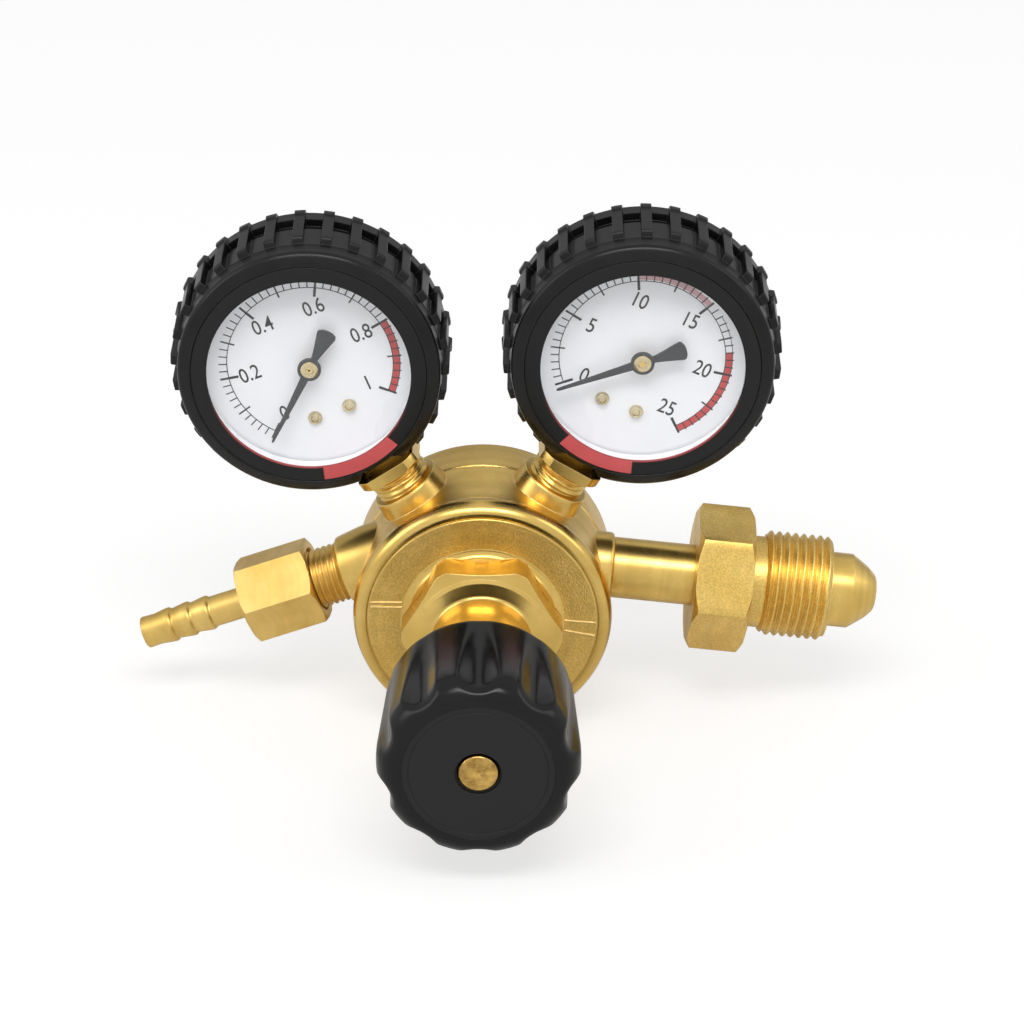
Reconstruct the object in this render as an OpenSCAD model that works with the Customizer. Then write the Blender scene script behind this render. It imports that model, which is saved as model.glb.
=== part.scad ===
// Two-gauge acetylene pressure regulator, in millimetres.
// The pieces are drawn about the regulator's own axis, which is Y with the knob at the front (-Y).
// The whole part is then moved so that its origin lies in the middle of the inlet's bull nose.

/* [Body] */
// Outer radius of the forged body
body_r = 28; // [27:0.1:30]
// Front rim of the body, where the bonnet's flange seats
body_rim_y = 2; // [1.5:0.1:2.5]
// Rear face of the body
body_rear_y = 25.9; // [25:0.1:30]
// Depth that the waist is drawn in below the outer radius
waist_in = 1; // [0.4:0.1:1.4]
// Place of the turned groove behind the waist
groove_y = 15.3; // [14.8:0.1:17]
// Width of the turned groove
groove_w = 0.6; // [0.3:0.1:1]
// Plane of the inlet, the outlet and both gauges
port_y = 12.4; // [12.2:0.1:13]
// Radius of the low-pressure chamber under the diaphragm
chamber_r = 18.5; // [16:0.1:19]
// Radius of the valve chamber behind the nozzle
valve_room_r = 5.6; // [5.2:0.1:6]
// Wall left behind the valve chamber
rear_wall = 2.8; // [2:0.1:4]
// Radius of the drilled gas passages
passage_r = 1.5; // [1:0.1:2]

/* [Gauge bosses] */
// Distance of a boss's end from the body's axis
boss_end_r = 32; // [31.5:0.1:33]
// Radius of a gauge boss
gauge_boss_r = 8.4; // [7.8:0.1:9]
// Depth of a gauge thread's hole below the boss's end
gauge_hole_depth = 7.6; // [6:0.1:7.8]
// Bearing of the left gauge, from straight up
left_bearing = 34; // [30:0.5:38]
// Bearing of the right gauge, from straight up
right_bearing = 31; // [28:0.5:36]

/* [Bonnet] */
// Radius of the flange's rounded rim
flange_r = 28; // [27:0.1:29]
// Front face of the flange
flange_face_y = -4; // [-5:0.1:-3.4]
// Length of the skirt that screws into the body
skirt_length = 3; // [2.4:0.1:3.4]
// Radius of the skirt's thread
skirt_r = 23.4; // [22.5:0.1:24]
// Radius of the fine turned line on the face
face_line_r = 24.9; // [24:0.1:25.6]
// Radius of the turned seat round the hexagon
hex_seat_r = 17.1; // [16.8:0.1:18]
// Hexagon across its flats
hex_af = 29.5; // [28:0.1:30]
// Radius to which the hexagon's corners are turned
hex_corner_r = 16.6; // [15.5:0.1:16.7]
// Front edge of the hexagon
hex_front_y = -12; // [-13:0.1:-11]
// Radius of the hexagon's front chamfer
hex_nose_r = 13.4; // [13:0.1:14]
// Radius of the neck, which is the spring housing
neck_r = 11.5; // [11.2:0.1:12]
// Radius of the collar between the hexagon and the neck
collar_r = 12.4; // [12.1:0.1:13]
// Front end of the neck
neck_end_y = -46.5; // [-48:0.1:-46]
// Radius of the spring's bore
spring_bore_r = 9.2; // [9:0.1:9.6]
// Length of the threaded bush in front of the bore
bush_length = 6.5; // [5:0.1:7]

/* [Adjusting screw and spring] */
// Radius of the adjusting screw's thread
screw_r = 5; // [4.5:0.1:5.4]
// Radius of the screw's turned front end
screw_tip_r = 4.15; // [3.5:0.05:4.3]
// Travel of the screw from fully out to fully in
screw_travel = 6; // [4:0.1:6.4]
// Thickness of the retaining ring on the screw
ring_t = 1; // [0.8:0.1:1.2]
// Radius of the retaining ring
ring_r = 6.6; // [6.2:0.1:7.5]
// Thickness of the spring button's disc
button_t = 2.4; // [2:0.1:3]
// Length of the button's nose inside the spring
button_nose = 3; // [2:0.1:4]
// Radius of the main spring's wire
main_wire_r = 1.3; // [1:0.05:1.4]
// Mean radius of the main spring
main_coil_r = 7.2; // [6.5:0.05:7.4]
// Working turns of the main spring
main_turns = 8; // [6:1:9]

/* [Knob] */
// Radius of the knob at its front lobes
knob_r = 20.9; // [20:0.1:22]
// Radius of the knob's smooth rear rim
knob_rim_r = 19.2; // [18.5:0.1:20]
// Rear rim of the knob
knob_rear_y = -38; // [-39:0.1:-37]
// Front ring of the knob
knob_front_y = -67; // [-69:0.1:-66]
// Radius of the flat front disc
disc_r = 15.6; // [14:0.1:16]
// Thickness of the front disc
disc_t = 1.2; // [0.8:0.1:1.6]
// Radius of the hole in the front disc
disc_hole_r = 4.75; // [4.6:0.05:5.4]
// Number of finger flutes
flutes = 10; // [8:1:12]
// Radius of a finger flute
flute_r = 4.6; // [4:0.1:5.4]
// Depth of a flute at the front
flute_depth = 2.1; // [1.4:0.1:2.6]
// Length of the knob's lobes at full radius, behind its front ring
lobe_length = 8; // [6:0.1:10]
// Radius inside the knob's skirt
knob_inner_r = 15; // [14:0.1:16]
// Gap between the knob's web and the neck with the screw fully in
web_gap = 1.5; // [1:0.1:2]

/* [Diaphragm and valve] */
// Thickness of the slip ring
slip_ring_t = 0.6; // [0.4:0.1:0.8]
// Thickness of the diaphragm
diaphragm_t = 1; // [0.8:0.1:1.2]
// Radius of the diaphragm plate
plate_r = 13.5; // [12:0.1:15]
// Thickness of the diaphragm plate
plate_t = 2; // [1.6:0.1:2.4]
// Radius of the plate's stud through the diaphragm
stud_r = 3; // [2.5:0.1:3.5]
// Length of the stud behind the diaphragm
stud_length = 0.8; // [0.6:0.1:1]
// Lift of the valve from its seat
valve_lift = 0.8; // [0.4:0.1:1]
// Gap between the stud and the nozzle with the valve fully lifted
valve_gap = 0.6; // [0.4:0.1:1]
// Radius of the nozzle's thread
nozzle_r = 7; // [6.4:0.1:7.4]
// Length of the nozzle's thread
nozzle_length = 4.8; // [4:0.1:5.2]
// Hexagon of the nozzle across its flats
nozzle_af = 15; // [15:0.1:17]
// Thickness of the nozzle's hexagon
nozzle_head_t = 1.4; // [1.2:0.1:1.6]
// Radius of the nozzle's bore
nozzle_bore_r = 1.8; // [1.5:0.1:2.2]
// Radius of the push pin
pin_r = 1.1; // [0.8:0.05:1.3]
// Radius of the poppet
poppet_r = 4.4; // [4:0.1:4.8]
// Length of the poppet behind its seat
poppet_length = 3.6; // [3:0.1:4]
// Radius of the seat insert
insert_r = 3.4; // [3:0.1:3.8]
// Thickness of the seat insert
insert_t = 1.2; // [0.8:0.1:1.6]
// Radius of the valve spring's wire
valve_wire_r = 0.35; // [0.25:0.05:0.45]
// Mean radius of the valve spring
valve_coil_r = 3; // [2.6:0.1:3.4]

/* [Inlet] */
// Fall of the inlet's axis towards the cylinder
inlet_fall = 6.2; // [0:0.1:8]
// Height at which the inlet's axis passes the body's axis
inlet_z = 7.7; // [6.5:0.1:8.5]
// Radius of the tail pipe
pipe_r = 6.65; // [6.2:0.05:7]
// Radius of the pipe's thread in the body
pipe_thread_r = 4.86; // [4.5:0.02:5.1]
// Place of the pipe's inner end
pipe_start = 17.5; // [16.5:0.1:19]
// Place of the pipe's shoulder outside the body
pipe_shoulder = 30.4; // [29.5:0.1:31]
// Rear face of the inlet nut
inlet_nut_start = 46.5; // [42:0.1:48]
// Length of the inlet nut's hexagon
inlet_hex_length = 13.2; // [12:0.1:15]
// Inlet nut across its flats
inlet_af = 28; // [27:0.1:30]
// Length of the neck between the hexagon and the thread
inlet_neck_length = 3.1; // [2.5:0.1:4]
// Radius of that neck
inlet_neck_r = 10; // [9.5:0.1:10.8]
// Outer radius of the inlet thread, 5/8 pipe size
inlet_thread_r = 11.456; // [11.2:0.002:11.7]
// Length of the inlet thread
inlet_thread_length = 14.4; // [12:0.1:16]
// Radius of the bull nose
nose_r = 8.15; // [7.6:0.05:8.6]
// Length of the nose's straight part outside the nut
nose_length = 4.5; // [3.5:0.1:5.5]
// Length of the nose's rounded end
nose_dome = 4.8; // [4:0.1:6]
// Length of the nose inside the nut
nose_sunk = 3; // [2:0.1:4]
// Radius of the gas bore
gas_bore_r = 2; // [1.5:0.1:2]
// Radius of the filter
filter_r = 3; // [2.5:0.1:3.4]
// Length of the filter
filter_length = 8; // [6:0.1:10]

/* [Outlet] */
// Fall of the outlet's axis towards the hose
outlet_fall = 19.8; // [15:0.1:24]
// Height at which the outlet's axis passes the body's axis
outlet_z = 14.4; // [13:0.1:15.5]
// Radius of the outlet boss at its end
outlet_boss_r = 8; // [7.6:0.1:8.6]
// Radius of the outlet boss at the body
outlet_root_r = 9.6; // [9:0.1:10.4]
// Place of the outlet boss's end
outlet_boss_end = 35.1; // [34:0.1:36]
// Radius of the outlet thread
outlet_thread_r = 6.58; // [6.4:0.02:6.8]
// Depth of the outlet thread's hole
outlet_hole_depth = 8; // [6:0.1:8.4]
// Gap between the boss and the outlet nut
outlet_gap = 4.2; // [3:0.1:5]
// Length of the outlet nut
outlet_nut_length = 18; // [16:0.1:20]
// Outlet nut across its flats
outlet_af = 17; // [16.4:0.1:19]
// Turn of the outlet nut's hexagon
outlet_nut_turn = 11; // [0:1:30]
// Length of the outlet thread inside the nut
outlet_engaged = 7; // [6.5:0.1:8]
// Radius of the hose tail's stem
tail_r = 3.45; // [3.2:0.05:3.7]
// Radius of the hose tail's ridges
ridge_r = 4.1; // [3.8:0.05:4.4]
// Radius of the hose tail's end
tail_tip_r = 3.7; // [3.5:0.05:3.9]
// Length of the hose tail outside the nut
tail_length = 22.6; // [20:0.1:28]
// Radius of the hose tail's head inside the nut
tail_head_r = 5.6; // [5:0.1:6]
// Radius of the hose tail's bore
tail_bore_r = 2; // [1.5:0.1:2]

/* [Gauges] */
// Width of the bezel's front ring over the case
bezel_lip = 3.55; // [2.8:0.05:4]
// Depth of the crease between the bezel and the boot, below the case's radius
crease_in = 0.2; // [0.1:0.1:0.5]
// Front of the bezel, before the port plane
bezel_front = 8; // [7.6:0.1:8.6]
// Thickness of the bezel's front ring
bezel_t = 0.6; // [0.5:0.05:0.8]
// Outer radius of the case
case_r = 25.2; // [25:0.1:26]
// Wall of the case
case_wall = 0.7; // [0.5:0.05:0.9]
// Depth of the case behind the port plane
case_back = 10.4; // [10:0.1:11.5]
// Thickness of the lens
lens_t = 1.5; // [1.2:0.1:1.6]
// Gap between the dial and the case's wall
dial_gap = 0.7; // [0.5:0.1:1]
// Front of the dial, before the port plane
dial_front = 1.5; // [1.3:0.1:1.7]
// Thickness of the dial
dial_t = 0.5; // [0.4:0.05:0.6]
// Turn of the left dial from straight down
left_dial_turn = 22; // [15:1:30]
// Turn of the right dial from straight down
right_dial_turn = -23; // [-30:1:-15]
// Sweep of the scale from zero to full
scale_sweep = 265; // [240:1:280]
// Distance of the dial screws from the pointer
dial_screw_place = 12.6; // [12:0.1:13.4]
// Angle of each dial screw from the dial's foot
dial_screw_angle = 18; // [14:1:20]

/* [Boot] */
// Wall of the boot at its smooth shoulder, over the case
boot_wall = 2.8; // [2.4:0.1:3.4]
// Rise of the ribs over the shoulder
rib_rise = 1.2; // [1:0.1:1.4]
// Rise of the rear rim's bumps over the ribs
rim_rise = 0.5; // [0.4:0.1:0.8]
// Front of the rib zone, before the port plane
rib_front = 2.4; // [2:0.1:3]
// Rear of the rib zone, behind the port plane
rib_back = 8.6; // [8.2:0.1:9]
// Rear face of the boot, behind the port plane
boot_back = 12.1; // [11.9:0.1:13]
// Number of ribs
ribs = 30; // [24:1:32]
// Width of a rib
rib_w = 2.2; // [1.6:0.1:2.6]
// Depth of a pocket below the ribs
pocket_depth = 1; // [0.6:0.1:1.2]
// Further depth of a pocket's rear slot
slot_depth = 0.9; // [0.5:0.1:1.2]
// Depth of the dips in the rear rim
rim_dip = 0.7; // [0.4:0.1:0.8]
// Radius of the opening in the boot's back
boot_hole_r = 19; // [17:0.1:21]

/* [Gauge socket] */
// Radius of the gauge's pipe thread
gauge_thread_r = 6.58; // [6.4:0.02:6.8]
// Length of that thread left open above the boss
open_thread = 2.5; // [2:0.1:3.5]
// Square of the socket across its flats
square_w = 14; // [13.2:0.1:15]
// Height of that square
square_h = 3; // [2.4:0.1:4]
// Radius of the socket's neck through the case
socket_neck_r = 5.6; // [5:0.1:6]
// Width of the socket's block in the case
block_w = 17; // [16:0.1:18]
// Top of the block, below the pointer
block_top = 9.5; // [9.2:0.1:10.5]

/* [Gauge movement] */
// Teeth of the pinion
pinion_teeth = 10; // [10:1:12]
// Teeth of the sector, counted round its full circle
sector_teeth = 70; // [66:1:74]
// Module of the teeth
tooth_module = 0.25; // [0.24:0.005:0.26]
// Thickness of the sector
sector_t = 0.8; // [0.5:0.1:1]
// Length of the sector's tail
sector_tail = 4; // [3.5:0.1:4.4]
// Mean radius of the Bourdon tube
tube_r = 17.5; // [17.2:0.1:18]
// Half of the tube's flat thickness
tube_half = 1.2; // [1:0.05:1.4]
// Height of the tube's flattened section
tube_h = 5.6; // [4.6:0.1:6]
// Wall of the tube
tube_wall = 0.4; // [0.3:0.05:0.5]
// End of the tube, above the level line
tube_end = 30; // [26:1:36]

/* [Pointer] */
// Length of the pointer's needle
needle_length = 19.2; // [18:0.1:20]
// Length of the pointer's tail
tail_spade = 9.8; // [8:0.1:11]
// Half of the tail's width at its end
spade_half = 2.1; // [1.6:0.1:2.6]
// Half of the needle's width at its root
needle_half = 0.95; // [0.7:0.05:1.2]
// Thickness of the pointer
pointer_t = 0.5; // [0.4:0.05:0.6]
// Radius of the pointer's hub
hub_r = 2.5; // [2:0.1:3]

/* [Fits] */
// Clearance of a running or screwed fit, on the radius
fit_gap = 0.05; // [0.03:0.01:0.08]
// Clearance between a free piece and what it must not touch
free_gap = 0.3; // [0.2:0.05:0.4]

/* [Hidden] */

BRASS = "#c8a04b";
BRIGHT = "#d8b25e";
STEEL = "#9ea2a6";
BLACK = "#26221f";
WHITE = "#f0f0ee";
RUBBER = "#2b2926";

// Smoothness of the round surfaces
$fn = 72;

// Signed bearings of the two gauges
LEFT = -left_bearing;
RIGHT = right_bearing;

// Length of the waist's straight front part
waist_flat = 1.4;

// Places along the body's axis
shelf_y = body_rim_y + skirt_length + slip_ring_t + diaphragm_t;
chamber_floor_y = shelf_y + stud_length + valve_lift + valve_gap + nozzle_head_t;
nozzle_end_y = chamber_floor_y + nozzle_length;
valve_room_end_y = body_rear_y - rear_wall;
seat_lip = 0.6;
poppet_y = nozzle_end_y + seat_lip + fit_gap;
plate_back_y = shelf_y - diaphragm_t;
plate_front_y = plate_back_y - plate_t;
bush_y = neck_end_y + bush_length;
ring_y = bush_y + fit_gap;
screw_end_y = ring_y + ring_t + 0.4;
button_front_y = screw_end_y + fit_gap;
button_back_y = button_front_y + button_t;
plate_room_y = plate_front_y - 1.2;
knob_web_y = neck_end_y - screw_travel - web_gap;

// Places along the inlet's axis
inlet_thread_start = inlet_nut_start + inlet_hex_length + inlet_neck_length;
inlet_thread_end = inlet_thread_start + inlet_thread_length;
nose_start = inlet_thread_end - nose_sunk;
nose_shoulder = inlet_thread_end + nose_length;
nose_end = nose_shoulder + nose_dome;
nose_middle = inlet_thread_end + nose_length / 2;
nose_neck_r = nose_r - 0.4;

// Places along the outlet's axis
outlet_nut_start = outlet_boss_end + outlet_gap;
outlet_nut_end = outlet_nut_start + outlet_nut_length;
outlet_stub_end = outlet_nut_start + outlet_engaged;
tail_head_length = 4;
outlet_floor = outlet_stub_end + tail_head_length + fit_gap;
tail_end = outlet_nut_end + tail_length;

// Middle of the nose's straight part, which is the part's origin
ORIGIN = [
    nose_middle * cos(inlet_fall),
    port_y,
    inlet_z - nose_middle * sin(inlet_fall)
];

// Gauge values
case_inner_r = case_r - case_wall;
dial_r = case_inner_r - dial_gap;
bezel_r = case_r - bezel_lip;
crease_r = case_r - crease_in;
boot_r = case_r + boot_wall;
rib_r = boot_r + rib_rise;
rim_r = rib_r + rim_rise;
square_top = boot_r + free_gap;
square_bottom = square_top + square_h;
boss_end_z = square_bottom + open_thread;
gauge_distance = boss_end_r + boss_end_z;
gauge_hole_r = gauge_thread_r + fit_gap;
socket_end = boss_end_z + gauge_hole_depth - free_gap;
lens_back = bezel_front - bezel_t - lens_t;
bezel_side_t = 0.75;
bezel_outer_r = case_r + fit_gap + bezel_side_t;
zero_angle = scale_sweep / 2;
block_front = -dial_front + dial_t;
block_back = block_front + 7;
pinion_pitch_r = tooth_module * pinion_teeth / 2;
sector_pitch_r = tooth_module * sector_teeth / 2;
pivot_x = pinion_pitch_r + sector_pitch_r;
sector_swing = scale_sweep * pinion_teeth / sector_teeth;
movement_front = 0.2;
movement_plate_t = 0.8;
movement_back = 4.6;
hub_plate_r = 4;
pivot_plate_r = 2.6;
sector_y = 2.4;
pin_hole_r = 0.45;
arbor_r = 0.4;
tail_rest_z = -sector_tail * sin(sector_swing / 2);
link_drop = 1.85;
link_length = tube_r * sin(tube_end) - tail_rest_z - link_drop;
half_swing_teeth = sector_swing / 2 * sector_teeth / 360;
mesh_lead = ceil(half_swing_teeth) - half_swing_teeth;
pointer_y = -4;
tube_middle_y = (block_front + block_back) / 2;
vent_r = 4;
PILLARS = [[-2.6, -6.4], [pivot_x + 1, -6.4]];

// A solid turned about the body's axis from its outline of radius and place
module turned(outline) {
    rotate([-90, 0, 0]) rotate_extrude() polygon(outline);
}

// A straight round bar along the body's axis, from one place to another
module bar_y(r, from, to) {
    translate([0, from, 0]) rotate([-90, 0, 0]) cylinder(r = r, h = to - from);
}

// A drilled passage between two points
module drill(from, to, r) {
    run = to - from;
    reach = norm(run);
    turn = atan2(run[1], run[0]);
    tilt = acos(run[2] / reach);
    translate(from) rotate([0, tilt, turn]) cylinder(r = r, h = reach, $fn = 32);
}

// A hexagon bar with both ends turned to a chamfer, along Z
module chamfered_hex(af, length, chamfer) {
    corner = af / sqrt(3);
    intersection() {
        cylinder(r = corner, h = length, $fn = 6);
        rotate_extrude() polygon([
            [0, 0],
            [corner - chamfer, 0],
            [corner, chamfer * 0.6],
            [corner, length - chamfer * 0.6],
            [corner - chamfer, length],
            [0, length]
        ]);
    }
}

// Puts a piece drawn along Z on the inlet's axis
module on_inlet() {
    translate([0, port_y, inlet_z]) rotate([0, 90 + inlet_fall, 0]) children();
}

// Puts a piece drawn along Z on the outlet's axis
module on_outlet() {
    translate([0, port_y, outlet_z]) rotate([0, -90 - outlet_fall, 0]) children();
}

// Puts a gauge's piece at its centre, with its foot towards the body
module at_gauge(bearing) {
    rotate([0, bearing, 0]) translate([0, port_y, gauge_distance]) children();
}

// Puts a piece of the dial at the gauge's centre, turned with the dial
module at_dial(bearing, dial_turn) {
    at_gauge(bearing) rotate([0, -bearing - dial_turn, 0]) children();
}

// Moves the whole part to its origin
module placed() {
    translate(-ORIGIN) children();
}

// A wire coil along Y, closed and ground at neither end
module coil(wire_r, coil_r, from, to, turns, steps, sides) {
    count = turns * steps;
    rise = (to - from - 2 * wire_r) / count;
    slope = atan2(rise * steps, 2 * PI * coil_r);
    rings = [for (i = [0:count]) [
        for (k = [0:sides - 1])
            let (a = i * 360 / steps, b = k * 360 / sides)
            let (out = coil_r + wire_r * cos(b), up = wire_r * sin(b))
            [
                out * cos(a) + up * sin(slope) * sin(a),
                from + wire_r + i * rise + up * cos(slope),
                out * sin(a) - up * sin(slope) * cos(a)
            ]
    ]];
    points = [for (ring = rings) for (p = ring) p];
    sides_faces = [
        for (i = [0:count - 1])
            for (k = [0:sides - 1])
                let (n = (k + 1) % sides)
                [i * sides + k, i * sides + n, (i + 1) * sides + n, (i + 1) * sides + k]
    ];
    first_cap = [for (k = [sides - 1:-1:0]) k];
    last_cap = [for (k = [0:sides - 1]) count * sides + k];
    polyhedron(points, concat(sides_faces, [first_cap], [last_cap]), convexity = 10);
}

module body() {
    waist_r = body_r - waist_in;
    color(BRASS) placed() difference() {
        union() {
            turned(concat(
                [
                    [0, body_rim_y],
                    [waist_r, body_rim_y],
                    [waist_r, body_rim_y + waist_flat]
                ],
                [for (t = [0.4:0.3:1]) [
                    waist_r + waist_in * t * t,
                    body_rim_y + (groove_y - groove_w / 2 - body_rim_y) * t
                ]],
                [
                    [body_r - groove_w / 2, groove_y],
                    [body_r, groove_y + groove_w / 2],
                    [body_r, body_rear_y - 0.8],
                    [body_r - 0.8, body_rear_y],
                    [0, body_rear_y]
                ]
            ));
            gauge_boss(LEFT);
            gauge_boss(RIGHT);
            on_inlet() translate([0, 0, body_r - 5]) rotate_extrude() polygon([
                [0, 0],
                [pipe_r + 2.2, 0],
                [pipe_r + 1.9, 5],
                [pipe_r + 1, pipe_shoulder - body_r + 4.6],
                [pipe_r + 0.6, pipe_shoulder - body_r + 5],
                [0, pipe_shoulder - body_r + 5]
            ]);
            on_outlet() translate([0, 0, body_r - 4]) rotate_extrude() polygon([
                [0, 0],
                [outlet_root_r, 0],
                [outlet_root_r, 3.4],
                [outlet_boss_r + 0.3, outlet_boss_end - body_r + 3.4],
                [outlet_boss_r - 0.2, outlet_boss_end - body_r + 4],
                [0, outlet_boss_end - body_r + 4]
            ]);
        }
        turned([
            [0, body_rim_y - 1],
            [skirt_r + fit_gap, body_rim_y - 1],
            [skirt_r + fit_gap, shelf_y],
            [chamber_r, shelf_y],
            [chamber_r, chamber_floor_y],
            [nozzle_r + fit_gap, chamber_floor_y],
            [nozzle_r + fit_gap, nozzle_end_y],
            [valve_room_r, nozzle_end_y],
            [valve_room_r, valve_room_end_y],
            [0, valve_room_end_y]
        ]);
        gauge_hole(LEFT);
        gauge_hole(RIGHT);
        on_inlet() translate([0, 0, pipe_start])
            cylinder(r = pipe_thread_r + fit_gap, h = pipe_shoulder - pipe_start + 1);
        on_outlet() translate([0, 0, outlet_boss_end - outlet_hole_depth])
            cylinder(r = outlet_thread_r + fit_gap, h = outlet_hole_depth + 1);
        high_pressure_passages();
        low_pressure_passages();
    }
}

module gauge_boss(bearing) {
    rotate([0, bearing, 0]) translate([0, port_y, body_r - 6]) rotate_extrude() polygon([
        [0, 0],
        [gauge_boss_r, 0],
        [gauge_boss_r, boss_end_r - body_r + 5.4],
        [gauge_boss_r - 0.6, boss_end_r - body_r + 6],
        [0, boss_end_r - body_r + 6]
    ]);
}

module gauge_hole(bearing) {
    rotate([0, bearing, 0]) translate([0, port_y, boss_end_r - gauge_hole_depth])
        cylinder(r = gauge_hole_r, h = gauge_hole_depth + 1);
}

// Point on a port's axis, at a distance from the body's middle
function inlet_point(s) = [s * cos(inlet_fall), port_y, inlet_z - s * sin(inlet_fall)];
function outlet_point(s) = [-s * cos(outlet_fall), port_y, outlet_z - s * sin(outlet_fall)];
function gauge_point(bearing, s) = [s * sin(bearing), port_y, s * cos(bearing)];

// Passages from the inlet and the right gauge's hole into the valve chamber
module high_pressure_passages() {
    room_y = (nozzle_end_y + valve_room_end_y) / 2;
    inside = valve_room_r - 1;
    drill(inlet_point(pipe_start + 1), [inside, room_y, 0], passage_r);
    drill(gauge_point(RIGHT, boss_end_r - gauge_hole_depth + 1),
        [inside * sin(RIGHT), room_y, inside * cos(RIGHT)], passage_r);
}

// Passages from the low-pressure chamber to the outlet and the left gauge's hole
module low_pressure_passages() {
    foot = chamber_r - 2 * passage_r;
    foot_y = chamber_floor_y - 1;
    drill(outlet_point(outlet_boss_end - outlet_hole_depth + 1),
        [-foot * cos(outlet_fall), foot_y, foot * sin(outlet_fall)], passage_r);
    drill(gauge_point(LEFT, boss_end_r - gauge_hole_depth + 1),
        [foot * sin(LEFT), foot_y, foot * cos(LEFT)], passage_r);
}

module bonnet() {
    bead = (body_rim_y - flange_face_y) / 2;
    bead_y = (body_rim_y + flange_face_y) / 2;
    color(BRASS) placed() difference() {
        union() {
            turned(concat(
                [
                    [0, body_rim_y + skirt_length],
                    [skirt_r, body_rim_y + skirt_length],
                    [skirt_r, body_rim_y],
                    [flange_r - 1, body_rim_y]
                ],
                [for (a = [60:-20:-60]) [
                    flange_r - bead * 0.62 + bead * 0.62 * cos(a),
                    bead_y + bead * 0.95 * sin(a)
                ]],
                [
                    [flange_r - 1.7, flange_face_y],
                    [face_line_r + 0.25, flange_face_y],
                    [face_line_r, flange_face_y + 0.25],
                    [face_line_r - 0.25, flange_face_y],
                    [hex_seat_r + 0.5, flange_face_y],
                    [hex_seat_r, flange_face_y - 0.6],
                    [0, flange_face_y - 0.6]
                ]
            ));
            turned([
                [0, hex_front_y],
                [hex_nose_r, hex_front_y - 1],
                [hex_nose_r - 0.5, hex_front_y - 1.2],
                [neck_r, hex_front_y - 2.2],
                [neck_r - 0.2, hex_front_y - 3],
                [neck_r, hex_front_y - 4],
                [collar_r, hex_front_y - 4.8],
                [collar_r, hex_front_y - 5.4],
                [neck_r, hex_front_y - 6.4],
                [neck_r, neck_end_y + 0.6],
                [neck_r - 0.6, neck_end_y],
                [0, neck_end_y]
            ]);
            bonnet_hex();
        }
        bar_y(screw_r + fit_gap, neck_end_y - 1, bush_y + 1);
        bar_y(spring_bore_r, bush_y, plate_room_y + 1);
        turned([
            [0, plate_room_y - 6],
            [spring_bore_r, plate_room_y - 6],
            [plate_r + 1, plate_room_y],
            [chamber_r, plate_room_y + 1],
            [chamber_r, body_rim_y + skirt_length + 1],
            [0, body_rim_y + skirt_length + 1]
        ]);
    }
}

// The hexagon on the bonnet, with turned corners and a chamfered front
module bonnet_hex() {
    intersection() {
        translate([0, hex_front_y - 1, 0]) rotate([-90, 0, 0])
            cylinder(r = hex_af / sqrt(3), h = flange_face_y - hex_front_y + 1, $fn = 6);
        turned([
            [0, flange_face_y],
            [hex_corner_r + 0.4, flange_face_y],
            [hex_corner_r, flange_face_y - 1.4],
            [hex_corner_r, hex_front_y + 1],
            [hex_nose_r, hex_front_y - 1],
            [0, hex_front_y - 1]
        ]);
    }
}

module slip_ring() {
    color(STEEL) placed() difference() {
        bar_y(skirt_r - fit_gap, body_rim_y + skirt_length, plate_back_y);
        bar_y(chamber_r, body_rim_y, shelf_y);
    }
}

// The diaphragm, flat at its clamped edge and its middle, with one rolled fold between them
module diaphragm() {
    fold_r = (chamber_r + plate_r) / 2;
    color(RUBBER) placed() turned([
        [stud_r + fit_gap, plate_back_y],
        [plate_r, plate_back_y],
        [fold_r, plate_back_y + 0.8],
        [chamber_r, plate_back_y],
        [skirt_r - fit_gap, plate_back_y],
        [skirt_r - fit_gap, shelf_y],
        [chamber_r - 0.4, shelf_y],
        [fold_r, shelf_y + 0.8],
        [plate_r + 0.4, shelf_y],
        [stud_r + fit_gap, shelf_y]
    ]);
}

module diaphragm_plate() {
    color(BRIGHT) placed() turned([
        [0, plate_front_y - 1.4],
        [main_coil_r - main_wire_r - 0.4, plate_front_y - 1.4],
        [main_coil_r - main_wire_r - 0.4, plate_front_y],
        [plate_r - 0.5, plate_front_y],
        [plate_r, plate_front_y + 0.5],
        [plate_r, plate_back_y - fit_gap],
        [stud_r, plate_back_y - fit_gap],
        [stud_r, shelf_y + stud_length],
        [0, shelf_y + stud_length]
    ]);
}

module main_spring() {
    color(STEEL) placed() coil(main_wire_r, main_coil_r, button_back_y + fit_gap,
        plate_front_y - fit_gap, main_turns, 14, 8);
}

module spring_button() {
    color(STEEL) placed() difference() {
        turned([
            [0, button_front_y],
            [spring_bore_r - free_gap - 0.5, button_front_y],
            [spring_bore_r - free_gap, button_front_y + 0.5],
            [spring_bore_r - free_gap, button_back_y],
            [main_coil_r - main_wire_r - 0.4, button_back_y],
            [main_coil_r - main_wire_r - 0.8, button_back_y + button_nose],
            [0, button_back_y + button_nose]
        ]);
        turned([
            [0, button_front_y - 1],
            [1.6, button_front_y - 1],
            [1.6, button_front_y],
            [0, button_front_y + 1.2]
        ]);
    }
}

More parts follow.
